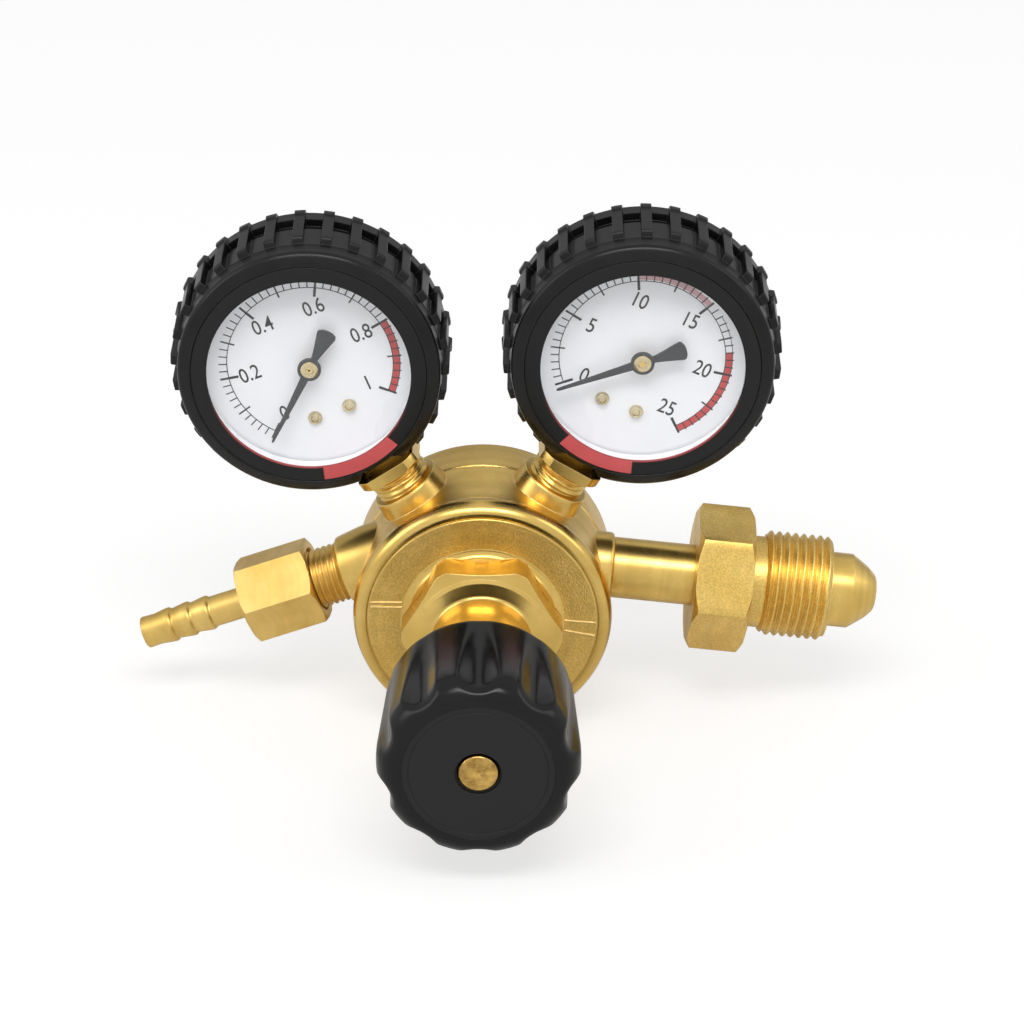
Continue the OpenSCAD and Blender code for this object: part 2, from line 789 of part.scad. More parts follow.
module adjusting_screw() {
    tip_y = knob_front_y - 0.1;
    shoulder_y = knob_front_y + disc_t + 1.4;
    color(BRIGHT) placed() difference() {
        turned([
            [0, tip_y],
            [screw_tip_r - 0.4, tip_y],
            [screw_tip_r, tip_y + 0.4],
            [screw_tip_r, shoulder_y],
            [screw_r, shoulder_y],
            [screw_r, ring_y],
            [screw_r - 0.5, ring_y],
            [screw_r - 0.5, ring_y + ring_t],
            [screw_r, ring_y + ring_t],
            [screw_r - 1.2, screw_end_y],
            [1.2, screw_end_y],
            [0, screw_end_y + 0.9]
        ]);
        turned([[0, tip_y - 1], [0.9, tip_y - 1], [0.9, tip_y], [0, tip_y + 0.8]]);
    }
}

// The split retaining ring in the screw's groove
module retaining_ring() {
    color(STEEL) placed() difference() {
        bar_y(ring_r, ring_y, ring_y + ring_t);
        bar_y(screw_r - 0.5 + fit_gap, ring_y - 1, ring_y + ring_t + 1);
        translate([0, ring_y - 1, -1.2]) cube([ring_r + 1, ring_t + 2, 2.4]);
    }
}

// The moulded knob: a turned shell with finger flutes that run out behind its front shoulder
module knob() {
    shoulder = 4.2;
    front_r = disc_r + 0.7;
    color(BLACK) placed() difference() {
        turned(concat(
            [
                [0, knob_front_y + 1],
                [disc_r, knob_front_y + 1],
                [disc_r, knob_front_y + 0.2],
                [disc_r + 0.2, knob_front_y],
                [front_r, knob_front_y]
            ],
            [for (a = [15:15:90]) [
                front_r + (knob_r - front_r) * sin(a),
                knob_front_y + shoulder * (1 - cos(a))
            ]],
            [
                [knob_r, knob_front_y + lobe_length],
                [knob_rim_r + 0.7, knob_rear_y - 5],
                [knob_rim_r + 0.1, knob_rear_y - 3.2],
                [knob_rim_r, knob_rear_y - 0.8],
                [knob_rim_r - 0.8, knob_rear_y],
                [0, knob_rear_y]
            ]
        ));
        for (i = [0:flutes - 1]) rotate([0, i * 360 / flutes, 0]) knob_flute();
        bar_y(knob_inner_r, knob_web_y, knob_rear_y + 1);
        bar_y(screw_r, knob_front_y + disc_t + 1.4, knob_web_y + 1);
        bar_y(disc_hole_r, knob_front_y - 1, knob_front_y + disc_t + 1.5);
        turned([
            [0, knob_front_y - 1],
            [disc_r, knob_front_y - 1],
            [disc_r, knob_front_y + 0.4 + disc_t],
            [0, knob_front_y + 0.4 + disc_t]
        ]);
    }
}

// One finger flute, deepest at the front and running out at the rear rim
module knob_flute() {
    front = [0, knob_front_y - 2, knob_r - flute_depth + flute_r];
    rear = [0, knob_rear_y - 2, knob_rim_r + 0.4 + flute_r];
    drill(front, rear, flute_r);
}

module knob_disc() {
    face = knob_front_y + 0.4;
    color("#302c2a") placed() difference() {
        turned([
            [0, face],
            [disc_r - 2.6, face],
            [disc_r - 2.5, face - 0.15],
            [disc_r - 2.2, face - 0.15],
            [disc_r - 2.1, face],
            [disc_r - 0.3, face],
            [disc_r, face + 0.3],
            [disc_r, face + disc_t],
            [0, face + disc_t]
        ]);
        bar_y(disc_hole_r, face - 1, face + disc_t + 1);
    }
}

module valve_nozzle() {
    head_y = chamber_floor_y - nozzle_head_t;
    color(BRIGHT) placed() difference() {
        union() {
            translate([0, head_y, 0]) rotate([-90, 0, 0]) chamfered_hex(nozzle_af, nozzle_head_t, 0.6);
            bar_y(nozzle_r, chamber_floor_y, nozzle_end_y);
            turned([
                [0, nozzle_end_y],
                [nozzle_bore_r + 1.2, nozzle_end_y],
                [nozzle_bore_r + 0.3, nozzle_end_y + seat_lip],
                [0, nozzle_end_y + seat_lip]
            ]);
        }
        bar_y(nozzle_bore_r, head_y - 1, nozzle_end_y + 2);
    }
}

module valve_poppet() {
    color(STEEL) placed() difference() {
        union() {
            bar_y(pin_r, shelf_y + stud_length + fit_gap, poppet_y + 1);
            turned([
                [0, poppet_y + 0.2],
                [poppet_r, poppet_y + 0.2],
                [poppet_r, poppet_y + poppet_length - 0.6],
                [poppet_r - 0.6, poppet_y + poppet_length],
                [0, poppet_y + poppet_length]
            ]);
            bar_y(valve_coil_r - valve_wire_r - 0.2, poppet_y + poppet_length - 1,
                poppet_y + poppet_length + 0.8);
        }
        difference() {
            bar_y(insert_r, poppet_y - 1, poppet_y + insert_t);
            bar_y(pin_r, poppet_y - 2, poppet_y + insert_t + 1);
        }
    }
}

module valve_seat() {
    color(RUBBER) placed() difference() {
        bar_y(insert_r, poppet_y, poppet_y + insert_t);
        bar_y(pin_r, poppet_y - 1, poppet_y + insert_t + 1);
    }
}

module valve_spring() {
    color(STEEL) placed() coil(valve_wire_r, valve_coil_r, poppet_y + poppet_length + fit_gap,
        valve_room_end_y - fit_gap, 3, 12, 6);
}

// The tail pipe with its bull nose, turned from one bar
module inlet_pipe() {
    color(BRASS) placed() on_inlet() difference() {
        union() {
            translate([0, 0, pipe_start]) cylinder(r = pipe_thread_r, h = pipe_shoulder - pipe_start);
            translate([0, 0, pipe_shoulder]) cylinder(r = pipe_r, h = nose_start - pipe_shoulder);
            rotate_extrude() polygon(concat(
                [
                    [0, nose_start],
                    [nose_neck_r, nose_start],
                    [nose_neck_r, inlet_thread_end],
                    [nose_r, inlet_thread_end],
                    [nose_r, nose_shoulder]
                ],
                [for (a = [12:12:72]) [
                    nose_r * (0.36 + 0.64 * cos(a)),
                    nose_shoulder + nose_dome * sin(a) / sin(76)
                ]],
                [
                    [nose_r * 0.46, nose_end],
                    [0, nose_end]
                ]
            ));
        }
        translate([0, 0, pipe_start - 1]) cylinder(r = gas_bore_r, h = nose_end);
        translate([0, 0, pipe_start - 1]) cylinder(r = filter_r + fit_gap, h = filter_length + 1);
        translate([0, 0, nose_end - 0.6])
            cylinder(r1 = gas_bore_r, r2 = gas_bore_r + 0.7, h = 0.7);
    }
}

module inlet_filter() {
    color("#a8803c") placed() on_inlet() translate([0, 0, pipe_start]) difference() {
        cylinder(r = filter_r, h = filter_length);
        translate([0, 0, -1]) cylinder(r = filter_r - 1.2, h = filter_length - 0.6);
    }
}

module inlet_nut() {
    color(BRASS) placed() on_inlet() difference() {
        union() {
            translate([0, 0, inlet_nut_start]) chamfered_hex(inlet_af, inlet_hex_length, 1.9);
            translate([0, 0, inlet_nut_start + inlet_hex_length - 1])
                cylinder(r = inlet_neck_r, h = inlet_neck_length + 2);
            translate([0, 0, inlet_thread_start]) cylinder(r = inlet_thread_r, h = inlet_thread_length);
        }
        translate([0, 0, inlet_nut_start - 1]) cylinder(r = pipe_r + fit_gap, h = 60);
        translate([0, 0, nose_start - fit_gap]) cylinder(r = nose_neck_r + fit_gap, h = nose_sunk + 1);
    }
}

module outlet_stub() {
    start = outlet_boss_end - outlet_hole_depth + free_gap;
    color(BRASS) placed() on_outlet() difference() {
        translate([0, 0, start]) cylinder(r = outlet_thread_r, h = outlet_stub_end - start);
        translate([0, 0, start - 1]) cylinder(r = tail_bore_r, h = 40);
        translate([0, 0, outlet_stub_end - 1.5])
            cylinder(r1 = tail_bore_r, r2 = tail_bore_r + 2.4, h = 1.51);
    }
}

module outlet_nut() {
    color(BRASS) placed() on_outlet() difference() {
        translate([0, 0, outlet_nut_start]) rotate([0, 0, outlet_nut_turn])
            chamfered_hex(outlet_af, outlet_nut_length, 1.1);
        translate([0, 0, outlet_nut_start - 1])
            cylinder(r = outlet_thread_r + fit_gap, h = outlet_floor - outlet_nut_start + 1);
        translate([0, 0, outlet_nut_start - 1]) cylinder(r = tail_r + fit_gap, h = 40);
    }
}

// The barbed hose tail, with a head that the nut draws against the stub
module hose_tail() {
    ridge_pitch = 4.4;
    first_ridge = outlet_nut_end + 6.6;
    color(BRASS) placed() on_outlet() difference() {
        rotate_extrude() polygon(concat(
            [
                [0, outlet_stub_end + fit_gap],
                [tail_head_r, outlet_stub_end + fit_gap],
                [tail_head_r, outlet_floor - fit_gap],
                [tail_r, outlet_floor - fit_gap],
                [tail_r, first_ridge - 0.01]
            ],
            [for (i = [0:2]) for (p = [
                [tail_r, first_ridge + i * ridge_pitch],
                [ridge_r, first_ridge + i * ridge_pitch + 0.5],
                [ridge_r, first_ridge + i * ridge_pitch + 1.1],
                [tail_r + 0.15, first_ridge + (i + 1) * ridge_pitch - 0.01]
            ]) p],
            [
                [tail_tip_r, tail_end - 2.2],
                [tail_tip_r, tail_end - 0.4],
                [tail_tip_r - 0.4, tail_end],
                [0, tail_end]
            ]
        ));
        translate([0, 0, outlet_stub_end - 1]) cylinder(r = tail_bore_r, h = 60);
    }
}

// The gauge's socket: pipe thread, square, neck and the block that carries the tube and the dial
module socket(bearing) {
    color(BRIGHT) placed() at_gauge(bearing) difference() {
        union() {
            translate([0, 0, -socket_end]) cylinder(r = gauge_thread_r, h = socket_end - square_bottom + 1);
            intersection() {
                translate([-square_w / 2, -square_w / 2, -square_bottom])
                    cube([square_w, square_w, square_bottom - square_top]);
                translate([0, 0, -square_bottom]) rotate_extrude() polygon([
                    [0, 0],
                    [square_w * 0.55, 0],
                    [square_w * 0.6, 0.5],
                    [square_w * 0.6, square_bottom - square_top],
                    [0, square_bottom - square_top]
                ]);
            }
            translate([0, 0, -square_top - 1]) neck_bar(0, square_top - tube_r);
            translate([-block_w / 2, block_front, -case_inner_r + 2.4])
                cube([block_w, block_back - block_front, case_inner_r - 2.4 - block_top]);
        }
        translate([0, 0, -socket_end - 1]) cylinder(r = passage_r, h = socket_end - tube_r + 1);
        tube_slot();
        dial_screw_holes(bearing, bearing < 0 ? left_dial_turn : right_dial_turn);
    }
}

// The socket's neck, flat in front so that it passes behind the dial and the bezel
module neck_bar(gap, length) {
    r = socket_neck_r + gap;
    intersection() {
        cylinder(r = r, h = length);
        translate([-r, block_front - gap, 0]) cube([2 * r, 2 * r, length]);
    }
}

// The slot in the block where the tube's end is brazed in
module tube_slot() {
    start = 270 - asin(block_w / 2 / tube_r);
    translate([0, tube_middle_y, 0]) rotate([90, 0, 0]) rotate([0, 0, start - 12])
        rotate_extrude(angle = 20) tube_section(tube_half + fit_gap, tube_h + 2 * fit_gap);
}

// The flattened section of the tube
module tube_section(half, height) {
    translate([tube_r, height / 2 - half]) circle(r = half, $fn = 32);
    translate([tube_r, half - height / 2]) circle(r = half, $fn = 32);
    translate([tube_r - half, half - height / 2]) square([2 * half, height - 2 * half]);
}

module bourdon_tube(bearing) {
    start = 270 - asin(block_w / 2 / tube_r) + 3;
    reach = start - tube_end;
    end_point = [tube_r * cos(tube_end), tube_r * sin(tube_end)];
    color(BRIGHT) placed() at_gauge(bearing) translate([0, tube_middle_y, 0]) rotate([90, 0, 0]) {
        difference() {
            rotate([0, 0, tube_end]) rotate_extrude(angle = reach) tube_section(tube_half, tube_h);
            rotate([0, 0, tube_end + 4]) rotate_extrude(angle = reach)
                tube_section(tube_half - tube_wall, tube_h - 2 * tube_wall);
        }
    }
}

module gauge_case(bearing) {
    back = case_back;
    color(WHITE) placed() at_gauge(bearing) difference() {
        turned([
            [0, back],
            [case_r - 1, back],
            [case_r, back - 1],
            [case_r, -lens_back],
            [case_inner_r, -lens_back],
            [case_inner_r, back - case_wall - 0.6],
            [case_inner_r - 0.6, back - case_wall],
            [0, back - case_wall]
        ]);
        translate([0, 0, -case_r - 1]) neck_bar(fit_gap, 6);
        bar_y(vent_r, back - 2, back + 1);
    }
}

module vent_plug(bearing) {
    color(RUBBER) placed() at_gauge(bearing) turned([
        [0, case_back - case_wall - 0.4],
        [vent_r - 0.1, case_back - case_wall - 0.4],
        [vent_r - 0.1, case_back + 0.05],
        [vent_r + 1, case_back + 0.05],
        [vent_r + 0.6, case_back + 1],
        [0, case_back + 1.2]
    ]);
}

module bezel(bearing) {
    color(BLACK) placed() at_gauge(bearing) turned([
        [bezel_r, -bezel_front],
        [crease_r - 0.1, -bezel_front],
        [crease_r, -bezel_front + 0.1],
        [crease_r, -bezel_front + bezel_t],
        [bezel_outer_r - 0.3, -bezel_front + bezel_t],
        [bezel_outer_r, -bezel_front + bezel_t + 0.3],
        [bezel_outer_r, -rib_front],
        [case_r + fit_gap, -rib_front],
        [case_r + fit_gap, -lens_back - lens_t + fit_gap],
        [bezel_r, -bezel_front + bezel_t]
    ]);
}

module lens(bearing) {
    lens_r = case_r - 0.1;
    color([0.9, 0.95, 1, 0.35]) placed() at_gauge(bearing) turned([
        [0, -lens_back - lens_t + fit_gap],
        [lens_r, -lens_back - lens_t + fit_gap],
        [lens_r, -lens_back],
        [0, -lens_back]
    ]);
}

// The rubber boot: a turned shell with ribs, pockets, bumps on its rear rim and a notch for the stem
module boot(bearing) {
    inside_r = bezel_outer_r + fit_gap;
    sleeve_r = case_r + fit_gap;
    color(RUBBER) placed() at_gauge(bearing) difference() {
        turned([
            [crease_r + 0.05, -bezel_front + 0.15],
            [crease_r + 0.35, -bezel_front - 0.05],
            [boot_r - 0.9, -bezel_front + 0.9],
            [boot_r - 0.2, -bezel_front + 1.4],
            [boot_r, -bezel_front + 2],
            [boot_r + 0.2, -rib_front - 0.6],
            [rib_r - 0.2, -rib_front],
            [rib_r, -rib_front + 0.6],
            [rib_r + 0.1, rib_back],
            [rim_r - 0.2, rib_back + 0.3],
            [rim_r, rib_back + 0.6],
            [rim_r, boot_back - 1],
            [rim_r - 1, boot_back],
            [boot_hole_r + 0.5, boot_back],
            [boot_hole_r, boot_back - 0.5],
            [boot_hole_r, case_back + fit_gap],
            [sleeve_r - 0.9, case_back + fit_gap],
            [sleeve_r, case_back - 0.9],
            [sleeve_r, -rib_front + 0.05],
            [inside_r, -rib_front + 0.05],
            [inside_r, -bezel_front + bezel_t + 0.25],
            [inside_r - 0.3, -bezel_front + bezel_t - fit_gap],
            [crease_r + 0.05, -bezel_front + bezel_t - fit_gap]
        ]);
        for (i = [0:ribs - 1]) rotate([0, (i + 0.5) * 360 / ribs, 0]) boot_pocket();
        translate([0, 0, -rim_r - 2]) cylinder(r = square_w * 0.62, h = rim_r - case_r + 3);
    }
}

// One pocket between two ribs, with its deeper rear slot and the dip in the rear rim
module boot_pocket() {
    width = 2 * PI * rib_r / ribs - rib_w;
    floor_r = rib_r - pocket_depth;
    front = -rib_front + 0.3;
    ledge = rib_back - 3.4;
    back = rib_back - 0.2;
    rotate([0, 90, 0]) rotate([0, 0, 90]) translate([0, 0, -width / 2]) linear_extrude(width) polygon([
        [front, floor_r],
        [ledge, floor_r],
        [ledge, floor_r - slot_depth],
        [back, floor_r - slot_depth],
        [back, rim_r - rim_dip],
        [boot_back + 1, rim_r - rim_dip],
        [boot_back + 1, rim_r + 2],
        [front, rim_r + 2]
    ]);
}

module dial_screw_holes(bearing, dial_turn) {
    rotate([0, -bearing - dial_turn, 0]) for (a = [-1, 1])
        rotate([0, a * dial_screw_angle, 0]) translate([0, 0, -dial_screw_place])
            bar_y(1 + fit_gap, -dial_front - 2, block_front + 3.2);
}

module dial(bearing, dial_turn) {
    color(WHITE) placed() at_gauge(bearing) difference() {
        bar_y(dial_r, -dial_front, -dial_front + dial_t);
        bar_y(1.2, -dial_front - 1, 1);
        dial_screw_holes(bearing, dial_turn);
    }
}

module dial_screws(bearing, dial_turn) {
    color(BRIGHT) placed() at_dial(bearing, dial_turn) for (a = [-1, 1])
        rotate([0, a * dial_screw_angle, 0]) translate([0, 0, -dial_screw_place]) difference() {
            union() {
                turned([
                    [0, -dial_front - 0.9],
                    [1.2, -dial_front - 0.9],
                    [1.55, -dial_front - 0.5],
                    [1.55, -dial_front],
                    [0, -dial_front]
                ]);
                bar_y(1, -dial_front, block_front + 3);
            }
            translate([-2, -dial_front - 1.4, -0.2]) cube([4, 0.9, 0.4]);
        }
}

// The pointer at zero, with its needle, round hub and spade tail
module pointer(bearing, dial_turn) {
    color("#33363a") placed() at_dial(bearing, dial_turn) rotate([0, -zero_angle, 0])
        translate([0, pointer_y, 0]) rotate([90, 0, 0]) translate([0, 0, -pointer_t]) difference() {
            union() {
                linear_extrude(pointer_t) polygon([
                    [-needle_half, 0],
                    [-0.22, needle_length - 0.4],
                    [0, needle_length],
                    [0.22, needle_length - 0.4],
                    [needle_half, 0],
                    [needle_half * 0.7, -3],
                    [spade_half, -tail_spade + 1],
                    [spade_half - 0.5, -tail_spade],
                    [0.5 - spade_half, -tail_spade],
                    [-spade_half, -tail_spade + 1],
                    [-needle_half * 0.7, -3]
                ]);
                cylinder(r = hub_r, h = pointer_t + 0.4, $fn = 48);
            }
            translate([0, 0, -1]) cylinder(r = 0.8, h = 3, $fn = 32);
        }
}

// One side of a gear's outline, from its tooth count
function teeth(count, from, to, phase) = [
    for (i = [from:to])
        for (p = [[-0.3, -1.15], [-0.13, 0.8], [0.13, 0.8], [0.3, -1.15]])
            let (a = (i + p[0] + phase) * 360 / count)
            let (r = tooth_module * (count / 2 + p[1]))
            [r * cos(a), r * sin(a)]
];

// The pinion and its staff, which carries the pointer
module pinion(bearing) {
    color(BRIGHT) placed() at_gauge(bearing) {
        difference() {
            bar_y(0.8, pointer_y - 1, movement_back + movement_plate_t);
            bar_y(0.3, pointer_y - 2, pointer_y - 0.7);
        }
        translate([0, sector_y + 1.2, 0]) rotate([90, 0, 0])
            linear_extrude(1.6) polygon(teeth(pinion_teeth, 0, pinion_teeth - 1, 0.5 - mesh_lead));
    }
}

// The sector, at its rest with the tail low
module sector(bearing) {
    half = ceil(half_swing_teeth) + 1;
    edge_r = sector_pitch_r - 1.15 * tooth_module;
    color(BRIGHT) placed() at_gauge(bearing) translate([pivot_x, sector_y + sector_t, 0])
        rotate([90, 0, 0]) difference() {
            union() {
                linear_extrude(sector_t) polygon(concat(
                    [[0, 0]],
                    rest_teeth(half)
                ));
                translate([0, 0, -0.2]) cylinder(r = 1.8, h = sector_t + 0.4, $fn = 32);
                rotate([0, 0, -sector_swing / 2]) linear_extrude(sector_t) {
                    translate([0, -0.8]) square([sector_tail, 1.6]);
                    translate([sector_tail, 0]) circle(r = 1, $fn = 24);
                }
            }
            translate([0, 0, -1]) cylinder(r = arbor_r + fit_gap, h = sector_t + 2, $fn = 24);
            rotate([0, 0, -sector_swing / 2]) translate([sector_tail, 0, -1])
                cylinder(r = pin_hole_r + 0.25, h = 4, $fn = 24);
            rotate([0, 0, 180 - sector_swing / 2]) linear_extrude(4, center = true)
                polygon([[3, -0.6], [edge_r - 1, -1.8], [edge_r - 1, 1.8], [3, 0.6]]);
        }
}

// The sector's teeth at rest: the last of them are in mesh
function rest_teeth(half) = [
    for (p = teeth(sector_teeth, -half, half, 0))
        let (a = 180 - sector_swing / 2 + atan2(p[1], p[0]), r = norm(p))
        [r * cos(a), r * sin(a)]
];

// The link between the tube's end and the sector's tail, with a pin in the tail
module link(bearing) {
    tail_x = pivot_x + sector_tail * cos(sector_swing / 2);
    color(STEEL) placed() at_gauge(bearing) translate([tail_x, sector_y + sector_t + 0.3, tail_rest_z]) {
        rotate([-90, 0, 0]) linear_extrude(0.5) {
            circle(r = 0.9, $fn = 24);
            translate([-0.5, -link_length]) square([1, link_length]);
            translate([0, -link_length]) circle(r = 0.9, $fn = 24);
        }
        translate([0, -sector_t - 0.4, 0]) rotate([-90, 0, 0]) cylinder(r = pin_hole_r, h = sector_t + 0.6, $fn = 24);
    }
}

// The two plates, with their pillars and the foot on the block
module movement(bearing) {
    color(BRIGHT) placed() at_gauge(bearing) {
        difference() {
            union() {
                for (y = [movement_front, movement_back])
                    translate([0, y + movement_plate_t, 0]) rotate([90, 0, 0])
                        linear_extrude(movement_plate_t) movement_outline();
                for (p = PILLARS)
                    translate([p[0], 0, p[1]]) bar_y(1, movement_front + 0.1, movement_back + 0.1);
            }
            bar_y(0.8 + fit_gap, movement_front - 1, movement_back + 2);
            translate([pivot_x, 0, 0]) bar_y(0.6, movement_front - 1, movement_front + 0.5);
        }
        translate([pivot_x, 0, 0]) bar_y(arbor_r, movement_front, movement_back + 0.1);
    }
}

module movement_outline() {
    translate([-hub_plate_r, -block_top + fit_gap]) square([pivot_x + hub_plate_r + 3, block_top - 1.2]);
    circle(r = hub_plate_r);
    translate([pivot_x, 0]) circle(r = pivot_plate_r);
    translate([0, -pivot_plate_r]) square([pivot_x, 2 * pivot_plate_r]);
}

body();
bonnet();
slip_ring();
diaphragm();
diaphragm_plate();
main_spring();
spring_button();
adjusting_screw();
retaining_ring();
knob();
knob_disc();
valve_nozzle();
valve_poppet();
valve_seat();
valve_spring();
inlet_pipe();
inlet_filter();
inlet_nut();
outlet_stub();
outlet_nut();
hose_tail();
socket(LEFT);  // left_socket
gauge_case(LEFT);  // left_case
boot(LEFT);  // left_boot
bezel(LEFT);  // left_bezel
lens(LEFT);  // left_lens
dial(LEFT, left_dial_turn);  // left_dial
dial_screws(LEFT, left_dial_turn);  // left_dial_screws
pointer(LEFT, left_dial_turn);  // left_pointer
pinion(LEFT);  // left_pinion
movement(LEFT);  // left_movement
sector(LEFT);  // left_sector
link(LEFT);  // left_link
bourdon_tube(LEFT);  // left_bourdon_tube
vent_plug(LEFT);  // left_vent_plug
socket(RIGHT);  // right_socket
gauge_case(RIGHT);  // right_case
boot(RIGHT);  // right_boot
bezel(RIGHT);  // right_bezel
lens(RIGHT);  // right_lens
dial(RIGHT, right_dial_turn);  // right_dial
dial_screws(RIGHT, right_dial_turn);  // right_dial_screws
pointer(RIGHT, right_dial_turn);  // right_pointer
pinion(RIGHT);  // right_pinion
movement(RIGHT);  // right_movement
sector(RIGHT);  // right_sector
link(RIGHT);  // right_link
bourdon_tube(RIGHT);  // right_bourdon_tube
vent_plug(RIGHT);  // right_vent_plug
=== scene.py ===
"""Two-gauge acetylene regulator: forged brass body, fluted black knob and two dial gauges in rubber boots."""
import math

import bmesh
import bpy
from mathutils import Matrix, Vector


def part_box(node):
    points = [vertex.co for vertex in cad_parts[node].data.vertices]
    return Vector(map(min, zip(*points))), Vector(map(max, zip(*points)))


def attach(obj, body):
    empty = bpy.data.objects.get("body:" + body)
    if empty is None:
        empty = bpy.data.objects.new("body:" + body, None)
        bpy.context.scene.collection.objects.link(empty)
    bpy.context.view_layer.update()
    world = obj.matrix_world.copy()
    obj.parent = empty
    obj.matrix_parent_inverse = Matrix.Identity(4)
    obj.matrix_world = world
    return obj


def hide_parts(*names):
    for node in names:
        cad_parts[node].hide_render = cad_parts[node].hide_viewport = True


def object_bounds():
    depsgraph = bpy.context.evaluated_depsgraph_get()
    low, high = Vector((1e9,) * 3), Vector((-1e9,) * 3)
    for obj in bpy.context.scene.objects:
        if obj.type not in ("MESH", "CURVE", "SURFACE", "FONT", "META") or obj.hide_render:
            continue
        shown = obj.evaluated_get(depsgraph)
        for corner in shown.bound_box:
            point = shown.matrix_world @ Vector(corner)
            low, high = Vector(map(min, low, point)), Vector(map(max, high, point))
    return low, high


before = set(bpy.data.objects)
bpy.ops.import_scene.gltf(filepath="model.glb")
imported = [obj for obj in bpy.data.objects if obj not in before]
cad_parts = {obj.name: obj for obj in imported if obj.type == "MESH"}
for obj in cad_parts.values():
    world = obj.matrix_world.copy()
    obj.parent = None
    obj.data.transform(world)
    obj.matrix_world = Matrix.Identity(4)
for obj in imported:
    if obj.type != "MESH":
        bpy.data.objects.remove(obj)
cad_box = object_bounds()

# Camera: a long lens, a little above the regulator and square to its knob.
# The aim point lies in front of the body, on the sight line through the middle of the picture.
MM = 0.001
PICTURE = 1024
FOCAL_PIXELS = 3990.5
SENSOR = 36.0
AIM = Vector((-72.71, -2.26, 20.15)) * MM
DISTANCE = 865.1 * MM
ELEVATION = math.radians(27.783)
AZIMUTH = math.radians(0.31)
ROLL = math.radians(0.134)

right = Vector((math.cos(AZIMUTH), math.sin(AZIMUTH), 0))
sight = Vector((
    -math.sin(AZIMUTH) * math.cos(ELEVATION),
    math.cos(AZIMUTH) * math.cos(ELEVATION),
    -math.sin(ELEVATION),
))
upward = right.cross(sight)
rolled_right = math.cos(ROLL) * right + math.sin(ROLL) * upward
rolled_up = math.cos(ROLL) * upward - math.sin(ROLL) * right
lens = bpy.data.cameras.new("camera")
lens.sensor_width = SENSOR
lens.lens = FOCAL_PIXELS * SENSOR / PICTURE
lens.clip_start = 0.05
lens.clip_end = 20
camera = bpy.data.objects.new("camera", lens)
camera.matrix_world = Matrix.Translation(AIM - sight * DISTANCE) @ Matrix(
    (rolled_right, rolled_up, -sight)
).transposed().to_4x4()
bpy.context.scene.collection.objects.link(camera)
bpy.context.scene.camera = camera
bpy.context.scene.view_settings.view_transform = "Standard"


# Studio: a pale floor under the body, four soft lamps, and a white sweep that only rays from the
# camera and from mirrors see. It is dim behind the object, which darkens the tops of the brass.
def add_node(tree, kind, inputs=None, **settings):
    """A new shader node; inputs are plain values or sockets of other nodes."""
    made = tree.nodes.new(kind)
    for key, value in settings.items():
        setattr(made, key, value)
    for key, value in (inputs or {}).items():
        if isinstance(value, bpy.types.NodeSocket):
            tree.links.new(value, made.inputs[key])
        else:
            made.inputs[key].default_value = value
    return made


def maths(tree, operation, *values):
    """The result of one Math node."""
    return add_node(tree, "ShaderNodeMath", dict(enumerate(values)), operation=operation).outputs[0]


def spread(tree, value, low, high, from_low=0.0, from_high=1.0, **settings):
    """The value moved from its own range to the range from low to high, and held within it."""
    return add_node(tree, "ShaderNodeMapRange", {
        "Value": value,
        "From Min": from_low,
        "From Max": from_high,
        "To Min": low,
        "To Max": high,
    }, **settings).outputs[0]


FLOOR_SIZE = 6.0
FLOOR_TONE = 0.86
SEEN_TONE = 0.44
SEEN_GLOW = 0.64
floor_bm = bmesh.new()
bmesh.ops.create_grid(floor_bm, x_segments=1, y_segments=1, size=FLOOR_SIZE / 2)
bmesh.ops.translate(floor_bm, vec=(0, 0, cad_box[0][2] - 0.2 * MM), verts=floor_bm.verts)
floor_mesh = bpy.data.meshes.new("floor")
floor_bm.to_mesh(floor_mesh)
floor_bm.free()
floor = bpy.data.objects.new("floor", floor_mesh)
bpy.context.scene.collection.objects.link(floor)
paper = bpy.data.materials.new("floor_paper")
paper.use_nodes = True
tree = paper.node_tree
tree.nodes.clear()
rays = add_node(tree, "ShaderNodeLightPath").outputs
seen = maths(tree, "MAXIMUM", rays["Is Camera Ray"], rays["Is Transmission Ray"])
tone = spread(tree, seen, FLOOR_TONE, SEEN_TONE)
glow = maths(tree, "MULTIPLY", seen, SEEN_GLOW)
matt = add_node(tree, "ShaderNodeBsdfDiffuse", {"Color": tone})
light = add_node(tree, "ShaderNodeEmission", {"Color": (1, 1, 1, 1), "Strength": glow})
both = add_node(tree, "ShaderNodeAddShader", {0: matt.outputs[0], 1: light.outputs[0]})
add_node(tree, "ShaderNodeOutputMaterial", {"Surface": both.outputs[0]})
floor_mesh.materials.append(paper)

WORLD_LIGHT = 0.45
FRONT_MIRRORED = 0.84
REAR_MIRRORED = 0.44
world = bpy.data.worlds.new("studio")
bpy.context.scene.world = world
world.use_nodes = True
tree = world.node_tree
tree.nodes.clear()
rays = add_node(tree, "ShaderNodeLightPath").outputs
place = add_node(tree, "ShaderNodeTexCoord")
rearward = add_node(tree, "ShaderNodeSeparateXYZ", {0: place.outputs["Generated"]}).outputs["Y"]
mirrored = spread(
    tree, rearward, FRONT_MIRRORED, REAR_MIRRORED, 0.2, 0.9, interpolation_type="SMOOTHSTEP"
)
strength = add_node(tree, "ShaderNodeMix", {0: rays["Is Glossy Ray"], 2: WORLD_LIGHT, 3: mirrored})
clear = maths(tree, "MAXIMUM", rays["Is Camera Ray"], rays["Is Transmission Ray"])
strength = add_node(tree, "ShaderNodeMix", {0: clear, 2: strength.outputs[0], 3: 1.0})
sky = add_node(tree, "ShaderNodeBackground", {"Color": (1, 1, 1, 1), "Strength": strength.outputs[0]})
add_node(tree, "ShaderNodeOutputWorld", {"Surface": sky.outputs[0]})


